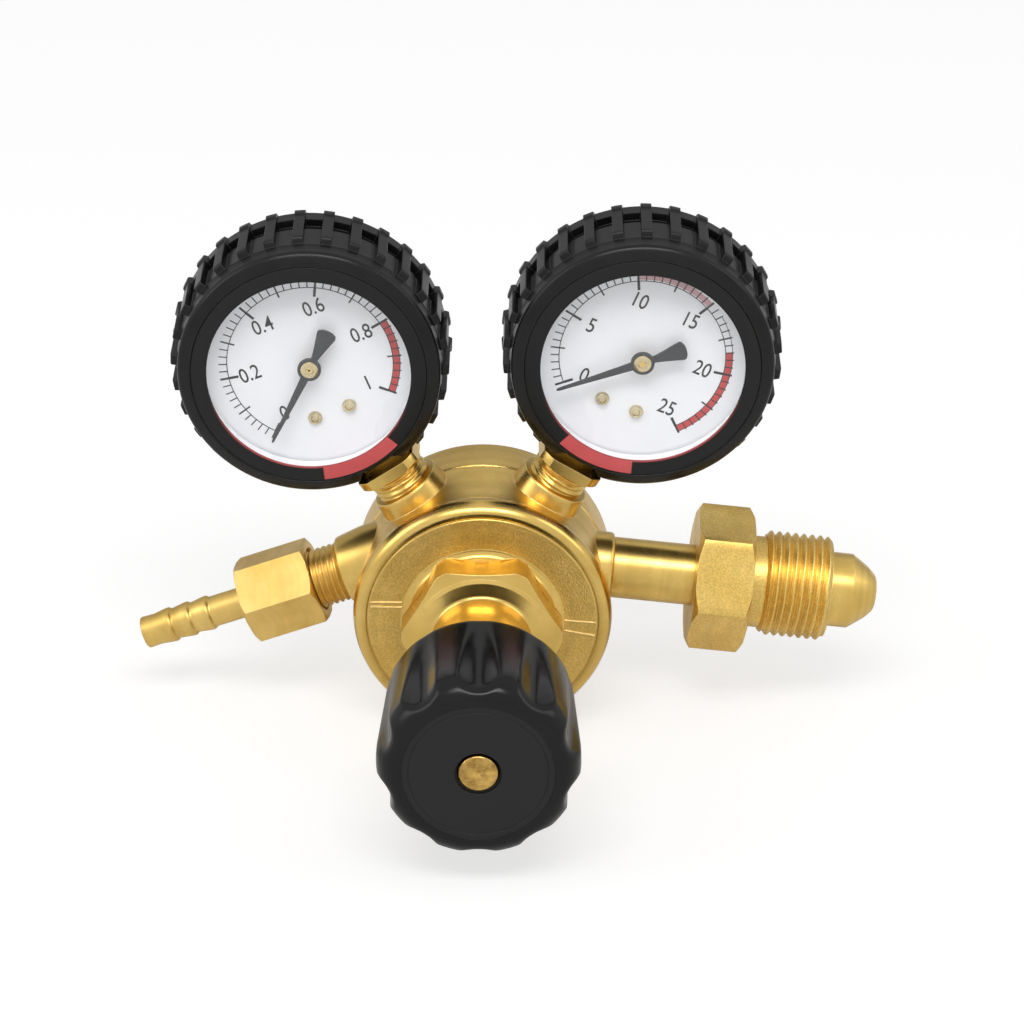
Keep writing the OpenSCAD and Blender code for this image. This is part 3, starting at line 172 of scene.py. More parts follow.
def softbox(name, place, target, width, height, power):
    """A soft rectangular lamp at place that faces target, in metres and watts."""
    lamp = bpy.data.lights.new(name, "AREA")
    lamp.shape = "RECTANGLE"
    lamp.size = width
    lamp.size_y = height
    lamp.energy = power
    holder = bpy.data.objects.new(name, lamp)
    holder.location = place
    holder.rotation_euler = (Vector(target) - Vector(place)).to_track_quat("-Z", "Y").to_euler()
    bpy.context.scene.collection.objects.link(holder)


CENTRE = (-0.07, 0.0, 0.02)
softbox("front_softbox", (-0.10, -0.62, 1.05), CENTRE, 0.9, 0.34, 6.0)
softbox("left_softbox", (-1.30, -0.35, 0.75), CENTRE, 0.7, 0.9, 3.5)
softbox("right_softbox", (1.15, -0.15, 0.85), CENTRE, 0.7, 0.9, 2.5)
softbox("back_softbox", (-0.05, 1.10, 0.95), CENTRE, 1.2, 0.5, 0.4)

# Forged body: brass, hot-forged with its four bosses, then turned outside and bored for the valve.
# The rear part is a plain brushed cylinder; a fine turned groove parts it from the drawn-in waist.
axis_low, axis_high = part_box("diaphragm_plate")
rim_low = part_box("body")[0]
RIM_PLACE = 2.0
AXIS_X = (axis_low.x + axis_high.x) / 2
AXIS_Z = (axis_low.z + axis_high.z) / 2
FLANGE_Y = rim_low.y - RIM_PLACE * MM
# Drawings of turned pieces run along Z. This puts Z on the body's axis, pointing to the rear.
BODY_AXIS = Matrix.Translation((AXIS_X, FLANGE_Y, AXIS_Z)) @ Matrix.Rotation(-math.pi / 2, 4, "X")
PORT_PLACE = 12.4


def softened(points, fillet=0.2, closed=False):
    """The outline with its corners rounded: by a point's own third number, or else by fillet, in mm."""
    rounded = []
    for i, point in enumerate(points):
        corner = Vector(point[:2])
        size = point[2] if len(point) > 2 else fillet
        if size == 0 or (not closed and i in (0, len(points) - 1)):
            rounded.append(corner)
            continue
        before = Vector(points[i - 1][:2]) - corner
        after = Vector(points[(i + 1) % len(points)][:2]) - corner
        reach = min(size, before.length * 0.45, after.length * 0.45)
        start = corner + before.normalized() * reach
        end = corner + after.normalized() * reach
        for t in (0, 0.25, 0.5, 0.75, 1):
            rounded.append((1 - t) ** 2 * start + 2 * t * (1 - t) * corner + t * t * end)
    return rounded


def spun(outline, steps, closed=False):
    """A shape spun round Z from an outline of (radius, distance along the axis)."""
    bm = bmesh.new()
    ring = [bm.verts.new((radius, 0, along)) for radius, along in outline]
    pairs = list(zip(ring, ring[1:]))
    if closed:
        pairs.append((ring[-1], ring[0]))
    edges = [bm.edges.new(pair) for pair in pairs]
    bmesh.ops.spin(
        bm, geom=ring + edges, cent=(0, 0, 0), axis=(0, 0, 1), angle=2 * math.pi, steps=steps, use_merge=True
    )
    return bm


def turned(outline, place, steps=112, closed=False):
    """A shape turned from an outline of (radius, distance along the axis) in mm, put in its place."""
    bm = spun([(radius * MM, along * MM) for radius, along in outline], steps, closed)
    bmesh.ops.remove_doubles(bm, verts=bm.verts, dist=1e-6)
    bmesh.ops.recalc_face_normals(bm, faces=bm.faces)
    bm.transform(place)
    return bm


def in_place(bm, place):
    """Puts a shape drawn in mm in its place, in metres, with its faces outward."""
    bmesh.ops.scale(bm, vec=(MM, MM, MM), verts=bm.verts)
    bmesh.ops.recalc_face_normals(bm, faces=bm.faces)
    bm.transform(place)
    return bm


def mark_creases(bm, crease):
    """Makes a shape smooth but for the edges that turn by more than crease, in degrees."""
    for face in bm.faces:
        face.smooth = True
    for edge in bm.edges:
        edge.smooth = len(edge.link_faces) == 2 and edge.calc_face_angle(0) < math.radians(crease)


def object_of(bm, name, crease=30):
    """Makes the shape an object, smooth but for its creases, and gives the shape free."""
    mesh = bpy.data.meshes.new(name)
    mark_creases(bm, crease)
    bm.to_mesh(mesh)
    bm.free()
    made = bpy.data.objects.new(name, mesh)
    bpy.context.scene.collection.objects.link(made)
    return made


def fitted(made, body, slot, finish, *nodes):
    """Gives a piece its finish, its body and the CAD nodes that it stands for; its slot is not used."""
    made.data.materials.clear()
    made.data.materials.append(finish)
    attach(made, body)
    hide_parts(*nodes)


def cut_with(made, tool, operation):
    """Applies one exact Boolean of a second object to made, and deletes that object."""
    step = made.modifiers.new("cut", "BOOLEAN")
    step.object = tool
    step.operation = operation
    step.solver = "EXACT"
    bpy.context.view_layer.update()
    result = bpy.data.meshes.new_from_object(made.evaluated_get(bpy.context.evaluated_depsgraph_get()))
    made.modifiers.clear()
    old = made.data
    name = old.name
    made.data = result
    bpy.data.meshes.remove(old)
    result.name = name
    bpy.data.objects.remove(tool)


def recreased(made):
    """Cleans a piece after its cuts and marks its creases again."""
    bm = bmesh.new()
    bm.from_mesh(made.data)
    bmesh.ops.remove_doubles(bm, verts=bm.verts, dist=2e-6)
    bmesh.ops.dissolve_degenerate(bm, edges=bm.edges, dist=2e-6)
    mark_creases(bm, 30)
    bm.to_mesh(made.data)
    bm.free()


def noise(tree, where, scale, detail, roughness=0.5):
    """A cloudy pattern; scale is in waves a metre."""
    return add_node(tree, "ShaderNodeTexNoise", {
        "Vector": where,
        "Scale": scale,
        "Detail": detail,
        "Roughness": roughness,
    }).outputs[0]


def mixed(tree, share, first, second, blend="MIX"):
    """Two colours mixed or multiplied; each is (red, green, blue) or the socket of a node."""
    inputs = {0: share, 6: first, 7: second}
    for key in (6, 7):
        if isinstance(inputs[key], tuple):
            inputs[key] = (*inputs[key], 1)
    return add_node(tree, "ShaderNodeMix", inputs, data_type="RGBA", blend_type=blend).outputs[2]


def round_axis(tree, where):
    """The x, y and z of a place on a piece, and its distance from the piece's axis, which is Z."""
    parts = add_node(tree, "ShaderNodeSeparateXYZ", {0: where}).outputs
    level = add_node(tree, "ShaderNodeCombineXYZ", {0: parts[0], 1: parts[1]}).outputs[0]
    reach = add_node(tree, "ShaderNodeVectorMath", {0: level}, operation="LENGTH").outputs["Value"]
    return parts[0], parts[1], parts[2], reach


def shader_group(name, inputs, outputs):
    """An empty node group, with the sockets to read its inputs from and to link its outputs to."""
    group = bpy.data.node_groups.new(name, "ShaderNodeTree")
    for direction, sockets in (("INPUT", inputs), ("OUTPUT", outputs)):
        for label, kind in sockets.items():
            group.interface.new_socket(name=label, in_out=direction, socket_type="NodeSocket" + kind)
    return group, group.nodes.new("NodeGroupInput").outputs, group.nodes.new("NodeGroupOutput").inputs


# Turning marks: fine rings round the axis of a turned piece, a little uneven round it.
SWAY = 300.0
turning, given, result = shader_group(
    "turning_marks",
    {"Place": "Vector", "Rings": "Float", "Unevenness": "Float"},
    {"Marks": "Float", "Broad": "Float"},
)
x, y, z, reach = round_axis(turning, given["Place"])
sway = maths(turning, "MULTIPLY", given["Unevenness"], SWAY)
stretched = add_node(turning, "ShaderNodeCombineXYZ", {
    0: maths(turning, "MULTIPLY", maths(turning, "SUBTRACT", z, reach), given["Rings"]),
    1: maths(turning, "MULTIPLY", x, sway),
    2: maths(turning, "MULTIPLY", y, sway),
}).outputs[0]
turning.links.new(noise(turning, stretched, 1.0, 3.0), result["Marks"])
turning.links.new(noise(turning, stretched, 0.12, 2.0), result["Broad"])

# Worn and sheen edges: a rounded normal for edges too small to model, and a mask of where they are. Brass and
# moulded finishes paint their edges paler by this mask, partly as wear and partly as a painted highlight.
worn_and_sheen_edges, given, result = shader_group(
    "worn_and_sheen_edges", {"Radius": "Float"}, {"Rounded": "Vector", "Edge": "Float"}
)
rounded = add_node(worn_and_sheen_edges, "ShaderNodeBevel", {"Radius": given["Radius"]}, samples=6).outputs[0]
true_normal = add_node(worn_and_sheen_edges, "ShaderNodeNewGeometry").outputs["Normal"]
likeness = add_node(
    worn_and_sheen_edges, "ShaderNodeVectorMath", {0: rounded, 1: true_normal}, operation="DOT_PRODUCT"
).outputs["Value"]
worn_and_sheen_edges.links.new(rounded, result["Rounded"])
worn_and_sheen_edges.links.new(spread(worn_and_sheen_edges, likeness, 0.0, 1.0, 0.99, 0.86), result["Edge"])


def use_group(tree, group, inputs):
    """The outputs of a node that holds a shared group."""
    return add_node(tree, "ShaderNodeGroup", inputs, node_tree=group).outputs


def bumped(tree, height, depth, normal):
    """A normal dented by a pattern, up to a depth in metres."""
    return add_node(tree, "ShaderNodeBump", {
        "Height": height,
        "Distance": depth,
        "Strength": 1.0,
        "Normal": normal,
    }).outputs[0]


def principled(name, **settings):
    """A new material with its Principled shader; settings name its sockets, with _ for a space."""
    made = bpy.data.materials.new(name)
    made.use_nodes = True
    shader = made.node_tree.nodes["Principled BSDF"]
    for key, value in settings.items():
        shader.inputs[key.replace("_", " ")].default_value = value
    return made, made.node_tree, shader


def dress(tree, shader, colour, gloss, normal=None):
    """Links a material's colour, roughness and normal to its shader."""
    tree.links.new(colour, shader.inputs["Base Color"])
    tree.links.new(gloss, shader.inputs["Roughness"])
    if normal:
        tree.links.new(normal, shader.inputs["Normal"])


def local_place(tree, place):
    """Object coordinates seen from a piece's own place, so that its axis is Z."""
    here = add_node(tree, "ShaderNodeTexCoord")
    moved = add_node(tree, "ShaderNodeMapping", {
        "Vector": here.outputs["Object"],
        "Location": place.to_translation(),
        "Rotation": place.to_euler(),
    }, vector_type="TEXTURE")
    return moved.outputs[0]


# Pale brass painted on the edges: partly wear, partly a painted highlight where edges catch the light.
WORN_AND_SHEEN_EDGE_BRASS = (0.86, 0.66, 0.31)
BLASTED_ROUGHNESS = 0.42
BLASTED_DEPTH = 0.13
BLASTED_WAVES = 2300.0


def brass(
    name, place, tone=(0.84, 0.58, 0.18), dark=(0.70, 0.465, 0.12), rough=(0.28, 0.40), rings=3000.0,
    ring_depth=0.010, grain=0.0, grain_size=0.00022, cloud_size=0.011, edge=0.00018, blasted=None
):
    """Brass with turning marks round its axis, forged grain, uneven tarnish and edges painted bright, partly
    as wear and partly as a painted highlight.
    Blasted is a matt, grainy ring on it: its inner and outer radius and its place along the axis, in mm."""
    made, tree, shader = principled(name, Metallic=1.0)
    where = local_place(tree, place)
    marks = use_group(tree, turning, {"Place": where, "Rings": rings, "Unevenness": 0.35})
    edge_wear_and_sheen = use_group(tree, worn_and_sheen_edges, {"Radius": edge})
    cloud = noise(tree, where, 1 / cloud_size, 5.0, roughness=0.62)
    speck = noise(tree, where, 1 / grain_size, 2.0)
    colour = mixed(tree, spread(tree, cloud, 0.0, 1.0, 0.32, 0.70), dark, tone)
    streak = spread(tree, marks["Broad"], 0.90, 1.06, 0.3, 0.7)
    colour = mixed(tree, 1.0, colour, streak, "MULTIPLY")
    gloss = spread(tree, cloud, rough[1], rough[0], 0.3, 0.7)
    depth = grain * MM
    grainy = 1.0
    if blasted:
        inner, outer, face = (size * MM for size in blasted)
        x, y, z, reach = round_axis(tree, where)
        on_ring = maths(tree, "COMPARE", reach, (inner + outer) / 2, (outer - inner) / 2)
        on_face = maths(tree, "COMPARE", z, face, 0.35 * MM)
        grainy = maths(tree, "MULTIPLY", on_ring, on_face)
        speck = noise(tree, where, BLASTED_WAVES, 3.0)
        gloss = spread(tree, grainy, gloss, BLASTED_ROUGHNESS)
        depth = spread(tree, grainy, depth, BLASTED_DEPTH * MM)
    if grain > 0.02 or blasted:
        mottle = spread(tree, speck, 0.88, 1.12, 0.36, 0.62)
        colour = mixed(tree, grainy, colour, mottle, "MULTIPLY")
    lines = bumped(tree, marks["Marks"], ring_depth * MM, edge_wear_and_sheen["Rounded"])
    # Edges painted pale brass: partly wear, partly a painted highlight.
    colour = mixed(tree, edge_wear_and_sheen["Edge"], colour, WORN_AND_SHEEN_EDGE_BRASS)
    dress(tree, shader, colour, gloss, bumped(tree, speck, depth, lines))
    return made


BODY_R = 28.0
WAIST_R = 27.0
GROOVE_PLACE = 15.3
REAR_PLACE = 25.9
body_outline = softened(
    [
        (23.5, RIM_PLACE),
        (WAIST_R, RIM_PLACE, 0.2),
        (WAIST_R, RIM_PLACE + 1.4, 1.2),
        (27.16, 7.3, 1.2),
        (27.49, 11.2, 1.2),
        (BODY_R - 0.1, GROOVE_PLACE - 0.3, 0.12),
        (BODY_R - 0.35, GROOVE_PLACE, 0.1),
        (BODY_R, GROOVE_PLACE + 0.3, 0.12),
        (BODY_R, REAR_PLACE, 0.8),
        (22.0, REAR_PLACE, 0.3),
        (21.6, REAR_PLACE - 0.3, 0.3),
        (1.6, REAR_PLACE - 0.3, 0.3),
        (0, REAR_PLACE - 1.3),
    ],
    fillet=0.3,
)
inside_outline = [
    (0, 23.1),
    (5.6, 23.1),
    (5.6, 15.0),
    (7.05, 15.0),
    (7.05, 10.2),
    (18.5, 10.2),
    (18.5, 6.6),
    (23.5, 6.6),
]
body_piece = object_of(
    turned([Vector(point) for point in inside_outline] + body_outline, BODY_AXIS, steps=144), "body"
)

LEFT_BEARING = math.radians(-34)
RIGHT_BEARING = math.radians(31)


def toward(bearing):
    """Puts Z on a port's axis in the port plane; bearing is from straight up, clockwise from the front."""
    return (
        Matrix.Translation((AXIS_X, FLANGE_Y + PORT_PLACE * MM, AXIS_Z)) @ Matrix.Rotation(bearing, 4, "Y")
    )


INLET_FALL = math.radians(6.2)
INLET_RISE = 7.7
OUTLET_FALL = math.radians(19.8)
OUTLET_RISE = 14.4
INLET = (
    Matrix.Translation((AXIS_X, FLANGE_Y + PORT_PLACE * MM, AXIS_Z + INLET_RISE * MM))
    @ Matrix.Rotation(math.pi / 2 + INLET_FALL, 4, "Y")
)
OUTLET = (
    Matrix.Translation((AXIS_X, FLANGE_Y + PORT_PLACE * MM, AXIS_Z + OUTLET_RISE * MM))
    @ Matrix.Rotation(-math.pi / 2 - OUTLET_FALL, 4, "Y")
)
gauge_boss = [(0, 24.0), (8.3, 24.0), (7.8, 30.1, 0.3), (7.5, 30.6, 0.2), (0, 30.6)]
inlet_boss = [(0, 19.0), (7.8, 19.0), (7.6, 27.6, 0.3), (7.2, 28.2, 0.3), (0, 28.2)]
outlet_boss = [(0, 18.0), (8.6, 18.0), (8.3, 26.0, 2.0), (7.5, 31.7, 0.3), (7.2, 32.1, 0.2), (0, 32.1)]
for place, outline in (
    (toward(LEFT_BEARING), gauge_boss),
    (toward(RIGHT_BEARING), gauge_boss),
    (INLET, inlet_boss),
    (OUTLET, outlet_boss),
):
    cut_with(body_piece, object_of(turned(softened(outline), place, steps=72), "boss"), "UNION")
hollow = turned([(0, 1.0), (23.5, 1.0)] + inside_outline[::-1], BODY_AXIS)
cut_with(body_piece, object_of(hollow, "hollow"), "DIFFERENCE")
recreased(body_piece)
body_brass = brass("body_brass", BODY_AXIS, rough=(0.25, 0.35), ring_depth=0.012, grain=0.006, edge=0.0004)
fitted(body_piece, "regulator", "forged_brass", body_brass, "body")

# Bonnet: a brass forging that clamps the diaphragm. Its flange has a rolled rim and a blasted face, from
# which a small flare rises to the spanner's hexagon and the neck that houses the main spring.
FACE_PLACE = -4.0
NECK_END = -46.5
bonnet_outline = softened(
    [
        (0, -40.0, 0),
        (5.05, -40.0, 0),
        (5.05, NECK_END, 0.3),
        (11.5, NECK_END, 0.6),
        (11.5, NECK_END + 1.5, 0.3),
        (10.6, NECK_END + 3.0, 0.5),
        (10.5, -16.4, 1.2),
        (10.9, -14.0, 0.2),
        (11.3, -13.5, 0.6),
        (14.1, -12.75, 0.1),
        (14.3, -12.6, 0),
        (14.8, -12.3, 0),
        (14.8, -7.0, 0),
        (15.6, -6.2, 0.6),
        (16.2, -4.8, 0.8),
        (17.3, FACE_PLACE - 0.14, 0.12),
        (17.5, FACE_PLACE - 0.14, 0.1),
        (17.7, FACE_PLACE, 0.1),
        (24.65, FACE_PLACE, 0.1),
        (24.9, FACE_PLACE + 0.25, 0.1),
        (25.15, FACE_PLACE, 0.1),
        (26.3, FACE_PLACE, 0.4),
        (27.35, -3.2, 0.8),
        (28.0, -1.6, 1.0),
        (28.0, -0.4, 1.0),
        (27.4, 1.3, 0.6),
        (27.0, RIM_PLACE, 0.3),
        (23.4, RIM_PLACE, 0),
        (23.4, 5.0, 0.2),
        (18.5, 5.0, 0.2),
        (18.5, 3.3, 0.3),
        (14.5, 2.4, 0.5),
        (9.2, -3.6, 0.5),
        (9.2, -40.0, 0.3),
        (0, -40.0, 0),
    ],
    fillet=0.3,
)[1:-1]
bonnet_piece = object_of(turned(bonnet_outline, BODY_AXIS, steps=144, closed=True), "bonnet")


def reach_of(vert):
    """A point's distance from the Z axis."""
    return Vector((vert.co.x, vert.co.y)).length


def set_reach(vert, radius):
    """Moves a point straight in or out to a distance from the Z axis."""
    change = radius / reach_of(vert)
    vert.co.x *= change
    vert.co.y *= change


def next_ring(bm, edges):
    """Extrudes a ring of edges, and returns the points and edges of the new one."""
    new = bmesh.ops.extrude_edge_only(bm, edges=edges)["geom"]
    verts = [item for item in new if isinstance(item, bmesh.types.BMVert)]
    return verts, [item for item in new if isinstance(item, bmesh.types.BMEdge)]


def hex_bar(across_flats, low, high, chamfer_low, chamfer_high, place, turn=0.0, corner_r=None, steps=16):
    """A hexagon bar from low to high along Z. Cones turned on its ends leave a curved edge on each flat;
    each chamfer is (radius where the cone starts, its rise for each mm of radius)."""
    bm = bmesh.new()
    bmesh.ops.create_circle(bm, cap_ends=False, segments=6 * steps, radius=1.0)
    for vert in bm.verts:
        angle = math.atan2(vert.co.y, vert.co.x)
        off_flat = (angle % (math.pi / 3)) - math.pi / 6
        radius = min(across_flats / 2 / math.cos(off_flat), corner_r or across_flats)
        vert.co = Vector((math.cos(angle + turn) * radius, math.sin(angle + turn) * radius, 0))

    def low_edge(radius):
        return low + max(0.0, radius - chamfer_low[0]) * chamfer_low[1]

    def high_edge(radius):
        return high - max(0.0, radius - chamfer_high[0]) * chamfer_high[1]

    def edge_ring(edges, limit, height_of):
        """Extrudes a ring of edges to its height on the end's cone, or to the cone's foot at limit."""
        verts, edges = next_ring(bm, edges)
        for vert in verts:
            radius = min(reach_of(vert), limit)
            set_reach(vert, radius)
            vert.co.z = height_of(radius)
        return edges

    outer = list(bm.edges)
    for vert in bm.verts:
        vert.co.z = low_edge(reach_of(vert))
    top = edge_ring(outer, math.inf, high_edge)
    bmesh.ops.contextual_create(bm, geom=edge_ring(top, chamfer_high[0], high_edge))
    bmesh.ops.contextual_create(bm, geom=edge_ring(outer, chamfer_low[0], low_edge))
    bmesh.ops.remove_doubles(bm, verts=bm.verts, dist=0.001)
    return in_place(bm, place)


HEX_FLATS = 31.2
HEX_CORNER_R = 17.3
NO_CHAMFER = (30.0, 0)
hex_bm = hex_bar(
    HEX_FLATS, -12.6, FACE_PLACE - 0.1, (14.2, 0.52), NO_CHAMFER, BODY_AXIS, corner_r=HEX_CORNER_R
)
cut_with(bonnet_piece, object_of(hex_bm, "hexagon"), "UNION")
recreased(bonnet_piece)
bonnet_brass = brass(
    "bonnet_brass", BODY_AXIS, rough=(0.17, 0.28), grain=0.004, ring_depth=0.006, edge=0.00025,
    blasted=(17.65, 24.6, FACE_PLACE)
)
fitted(bonnet_piece, "regulator", "forged_brass", bonnet_brass, "bonnet")
# Seams of the forging die's inserts: a pair of low ridges on each side of the blasted face, each with
# its middle's place across and up, and its slope in degrees.
bm = bmesh.new()
for across, height, slope in ((-20.7, 4.55, 0), (-20.7, 3.4, -1), (21.0, 0.05, -5), (21.0, -2.8, -11)):
    ridge = (
        Matrix.Translation((across, FACE_PLACE, height))
        @ Matrix.Rotation(math.radians(-slope), 4, "Y")
        @ Matrix.Diagonal((7.2, 0.44, 0.6, 1))
    )
    bmesh.ops.create_cube(bm, size=1, matrix=ridge)
bmesh.ops.bevel(bm, geom=list(bm.edges), offset=0.2, segments=3, affect="EDGES")
in_place(bm, Matrix.Translation((AXIS_X, FLANGE_Y, AXIS_Z)))
fitted(object_of(bm, "bonnet_seams"), "regulator", "forged_brass", bonnet_brass)

# Inlet pipe: one turned brass bar, screwed into the body. Its bull nose seals in the cylinder valve,
# and its shoulder inside the union nut takes the nut's pull.
pipe_outline = softened(
    [
        (3.05, 17.5),
        (4.86, 17.5, 0.4),
        (4.86, 28.2, 0),
        (6.65, 28.2, 0.2),
        (6.65, 74.2, 0),
        (7.75, 74.2, 0),
        (7.75, 75.8, 0),
        (8.15, 75.8, 0),
        (8.15, 80.8, 0.12),
        (5.7, 84.4, 1.6),
        (4.1, 86.0, 1.2),
        (3.2, 86.4, 0.4),
        (2.7, 86.4, 0.2),
        (2.0, 85.8, 0.2),
        (2.0, 25.5, 0),
        (3.05, 25.5, 0),
    ],
    fillet=0.2,
    closed=True,
)
pipe_piece = object_of(turned(pipe_outline, INLET, closed=True), "inlet_pipe")
bar_brass = brass("inlet_brass", INLET, tone=(0.88, 0.62, 0.19), rough=(0.24, 0.34), ring_depth=0.008)
fitted(pipe_piece, "regulator", "bar_brass", bar_brass, "inlet_pipe")

# Union nut: hexagon bar with a turned neck and the left-hand 5/8 inch pipe thread, 14 to the inch.
# The thread is one tooth swept along a helix; its ends are cut off square and brought down to a cone.
NUT_START = 45.9
NUT_TURN = math.radians(-28)
NUT_HEX_END = 58.2
THREAD_START = 61.4
THREAD_END = 75.8
INLET_THREAD_R = 11.456
INLET_THREAD_DEPTH = 0.88
INLET_PITCH = 25.4 / 14
THREAD_BORE_R = 7.8


def threaded(crest_r, depth, pitch, start, end, bore_r, place, steps=72, hand=-1, lead_in=1.0):
    """A male thread from start to end: a 55 degree tooth swept along its helix, with the helix cut square
    at both ends, brought down to a cone there, and closed with flat rings to the bore."""
    root = crest_r - depth
    tooth = [
        (root, 0.0),
        (root + 0.08 * depth, 0.06 * pitch),
        (crest_r - 0.12 * depth, 0.36 * pitch),
        (crest_r, 0.44 * pitch),
        (crest_r, 0.56 * pitch),
        (crest_r - 0.12 * depth, 0.64 * pitch),
        (root + 0.08 * depth, 0.94 * pitch),
        (root, 1.0 * pitch),
    ]
    turns = math.ceil((end - start) / pitch) + 2
    bm = bmesh.new()
    ring = [bm.verts.new((radius, 0, start - 1.5 * pitch + along)) for radius, along in tooth]
    edges = [bm.edges.new(pair) for pair in zip(ring, ring[1:])]
    bmesh.ops.spin(
        bm,
        geom=ring + edges,
        cent=(0, 0, 0),
        axis=(0, 0, hand),
        dvec=(0, 0, pitch / steps),
        angle=2 * math.pi * turns,
        steps=steps * turns,
    )
    bmesh.ops.remove_doubles(bm, verts=bm.verts, dist=0.001)
    for cut, side in ((start, -1), (end, 1)):
        loose = bmesh.ops.bisect_plane(
            bm,
            geom=list(bm.verts) + list(bm.edges) + list(bm.faces),
            dist=1e-4,
            plane_co=(0, 0, cut),
            plane_no=(0, 0, side),
            clear_outer=True,
        )["geom_cut"]
        rim = [item for item in loose if isinstance(item, bmesh.types.BMEdge) and item.is_boundary]
        for vert in next_ring(bm, rim)[0]:
            set_reach(vert, bore_r)
    for vert in bm.verts:
        if reach_of(vert) > bore_r + 1e-3:
            from_end = min(vert.co.z - start, end - vert.co.z)
            limit = root + (from_end / lead_in) * depth if from_end < lead_in else crest_r
            if reach_of(vert) > limit:
                set_reach(vert, limit)
    bmesh.ops.bridge_loops(bm, edges=[edge for edge in bm.edges if edge.is_boundary])
    return in_place(bm, place)


NUT_FLATS = 28.0
NUT_CORNER_R = 15.95
NUT_CHAMFER = (14.27, 0.6)
BORE_R = 6.7
nut_hex = hex_bar(
    NUT_FLATS, NUT_START, NUT_HEX_END, NUT_CHAMFER, NUT_CHAMFER, INLET, NUT_TURN, NUT_CORNER_R, steps=20
)
nut_shell = object_of(nut_hex, "inlet_nut")
neck_outline = softened([
    (BORE_R, 57.0),
    (10.0, 57.0),
    (10.0, THREAD_START - 0.1, 0.2),
    (10.0, THREAD_START + 0.4),
    (BORE_R, THREAD_START + 0.4),
])
bore_tool = object_of(turned([(0, 40.0), (BORE_R, 40.0), (BORE_R, 70.0), (0, 70.0)], INLET), "bore")
cut_with(nut_shell, object_of(turned(neck_outline, INLET, closed=True), "neck"), "UNION")
cut_with(nut_shell, bore_tool, "DIFFERENCE")
recreased(nut_shell)
nut_brass = brass(
    "inlet_nut_brass", INLET, tone=(0.88, 0.62, 0.19), rough=(0.32, 0.42), ring_depth=0.004, grain=0.03,
    grain_size=0.0004
)
fitted(nut_shell, "inlet_nut", "bar_brass", nut_brass, "inlet_nut")
thread_bm = threaded(
    INLET_THREAD_R, INLET_THREAD_DEPTH, INLET_PITCH, THREAD_START, THREAD_END, THREAD_BORE_R, INLET,
    lead_in=0.9
)
fitted(object_of(thread_bm, "inlet_nut_thread"), "inlet_nut", "bar_brass", nut_brass)

# Outlet stub, hose tail and their nut: turned from bar. The stub screws into the outlet boss, the nut
# runs on it with a left-hand thread and draws the tail's head against it; three barbs hold the hose.
OUTLET_PITCH = 25.4 / 19
OUTLET_TURN = math.radians(41)
OUTLET_FLATS = 17.0
OUTLET_NUT_START = 38.6
OUTLET_NUT_END = 55.0
OUTLET_CHAMFER = (8.75, 0.6)
stub_bar = brass(
    "outlet_brass", OUTLET, tone=(0.90, 0.64, 0.22), rough=(0.32, 0.42), ring_depth=0.006, grain=0.006
)
stub_thread = threaded(
    crest_r=6.5, depth=0.6, pitch=OUTLET_PITCH, start=27.4, end=46.3, bore_r=2.0, place=OUTLET, lead_in=0.6
)
stub_piece = object_of(stub_thread, "outlet_stub")
fitted(stub_piece, "regulator", "bar_brass", stub_bar, "outlet_stub")
outlet_hex = hex_bar(
    OUTLET_FLATS, OUTLET_NUT_START, OUTLET_NUT_END, OUTLET_CHAMFER, OUTLET_CHAMFER, OUTLET, OUTLET_TURN,
    steps=20
)
outlet_nut_piece = object_of(outlet_hex, "outlet_nut")
outlet_hole = [(0, 38.0), (7.4, 38.0), (6.63, 40.2), (6.63, 50.35), (3.5, 50.35), (3.5, 60.0), (0, 60.0)]
cut_with(outlet_nut_piece, object_of(turned(outlet_hole, OUTLET), "bore"), "DIFFERENCE")
recreased(outlet_nut_piece)
fitted(outlet_nut_piece, "outlet_nut", "bar_brass", stub_bar, "outlet_nut")
FIRST_BARB = 63.3
BARB_PITCH = 4.4
barbs = []
for i in range(3):
    foot = FIRST_BARB + i * BARB_PITCH
    barbs += [(3.4, foot, 0.2), (3.85, foot + 0.5, 0.3), (3.85, foot + 1.2, 0.5)]
tail_outline = softened(
    [(2.0, 46.35, 0.2), (5.6, 46.35, 0.3), (5.6, 50.3, 0), (3.45, 50.3, 0)]
    + barbs
    + [(3.45, 76.3, 0.3), (3.55, 79.4, 0.4), (2.0, 79.4, 0.3)],
    fillet=0.2,
    closed=True,
)
tail_piece = object_of(turned(tail_outline, OUTLET, closed=True), "hose_tail")
fitted(tail_piece, "hose_tail", "bar_brass", stub_bar, "hose_tail")

# Adjusting screw and knob: the brass screw is moulded into a black plastic knob with ten finger
# flutes; a thin matt disc closes its front and shows the screw's turned end in its hole.
KNOB_FRONT = -67.0
KNOB_REAR = -38.0
KNOB_R = 20.9
KNOB_RIM_R = 19.2
KNOB_WEB = -54.0
FLUTES = 10
FLUTE_R = 5.3
FLUTE_DEPTH = 2.1
DISC_R = 15.6
screw_outline = softened(
    [
        (0, -66.55),
        (0.45, -66.75, 0.2),
        (1.0, -67.05, 0.2),
        (3.7, -67.1, 0.5),
        (4.15, -66.7, 0.3),
        (4.15, -64.4, 0.1),
        (5.0, -64.4, 0.1),
        (5.0, -39.95, 0),
        (4.5, -39.95, 0),
        (4.5, -38.95, 0),
        (5.0, -38.95, 0),
        (3.8, -38.55, 0.1),
        (1.2, -38.55, 0.1),
        (0, -37.65),
    ],
    fillet=0.15,
)
screw_piece = object_of(turned(screw_outline, BODY_AXIS), "adjusting_screw")
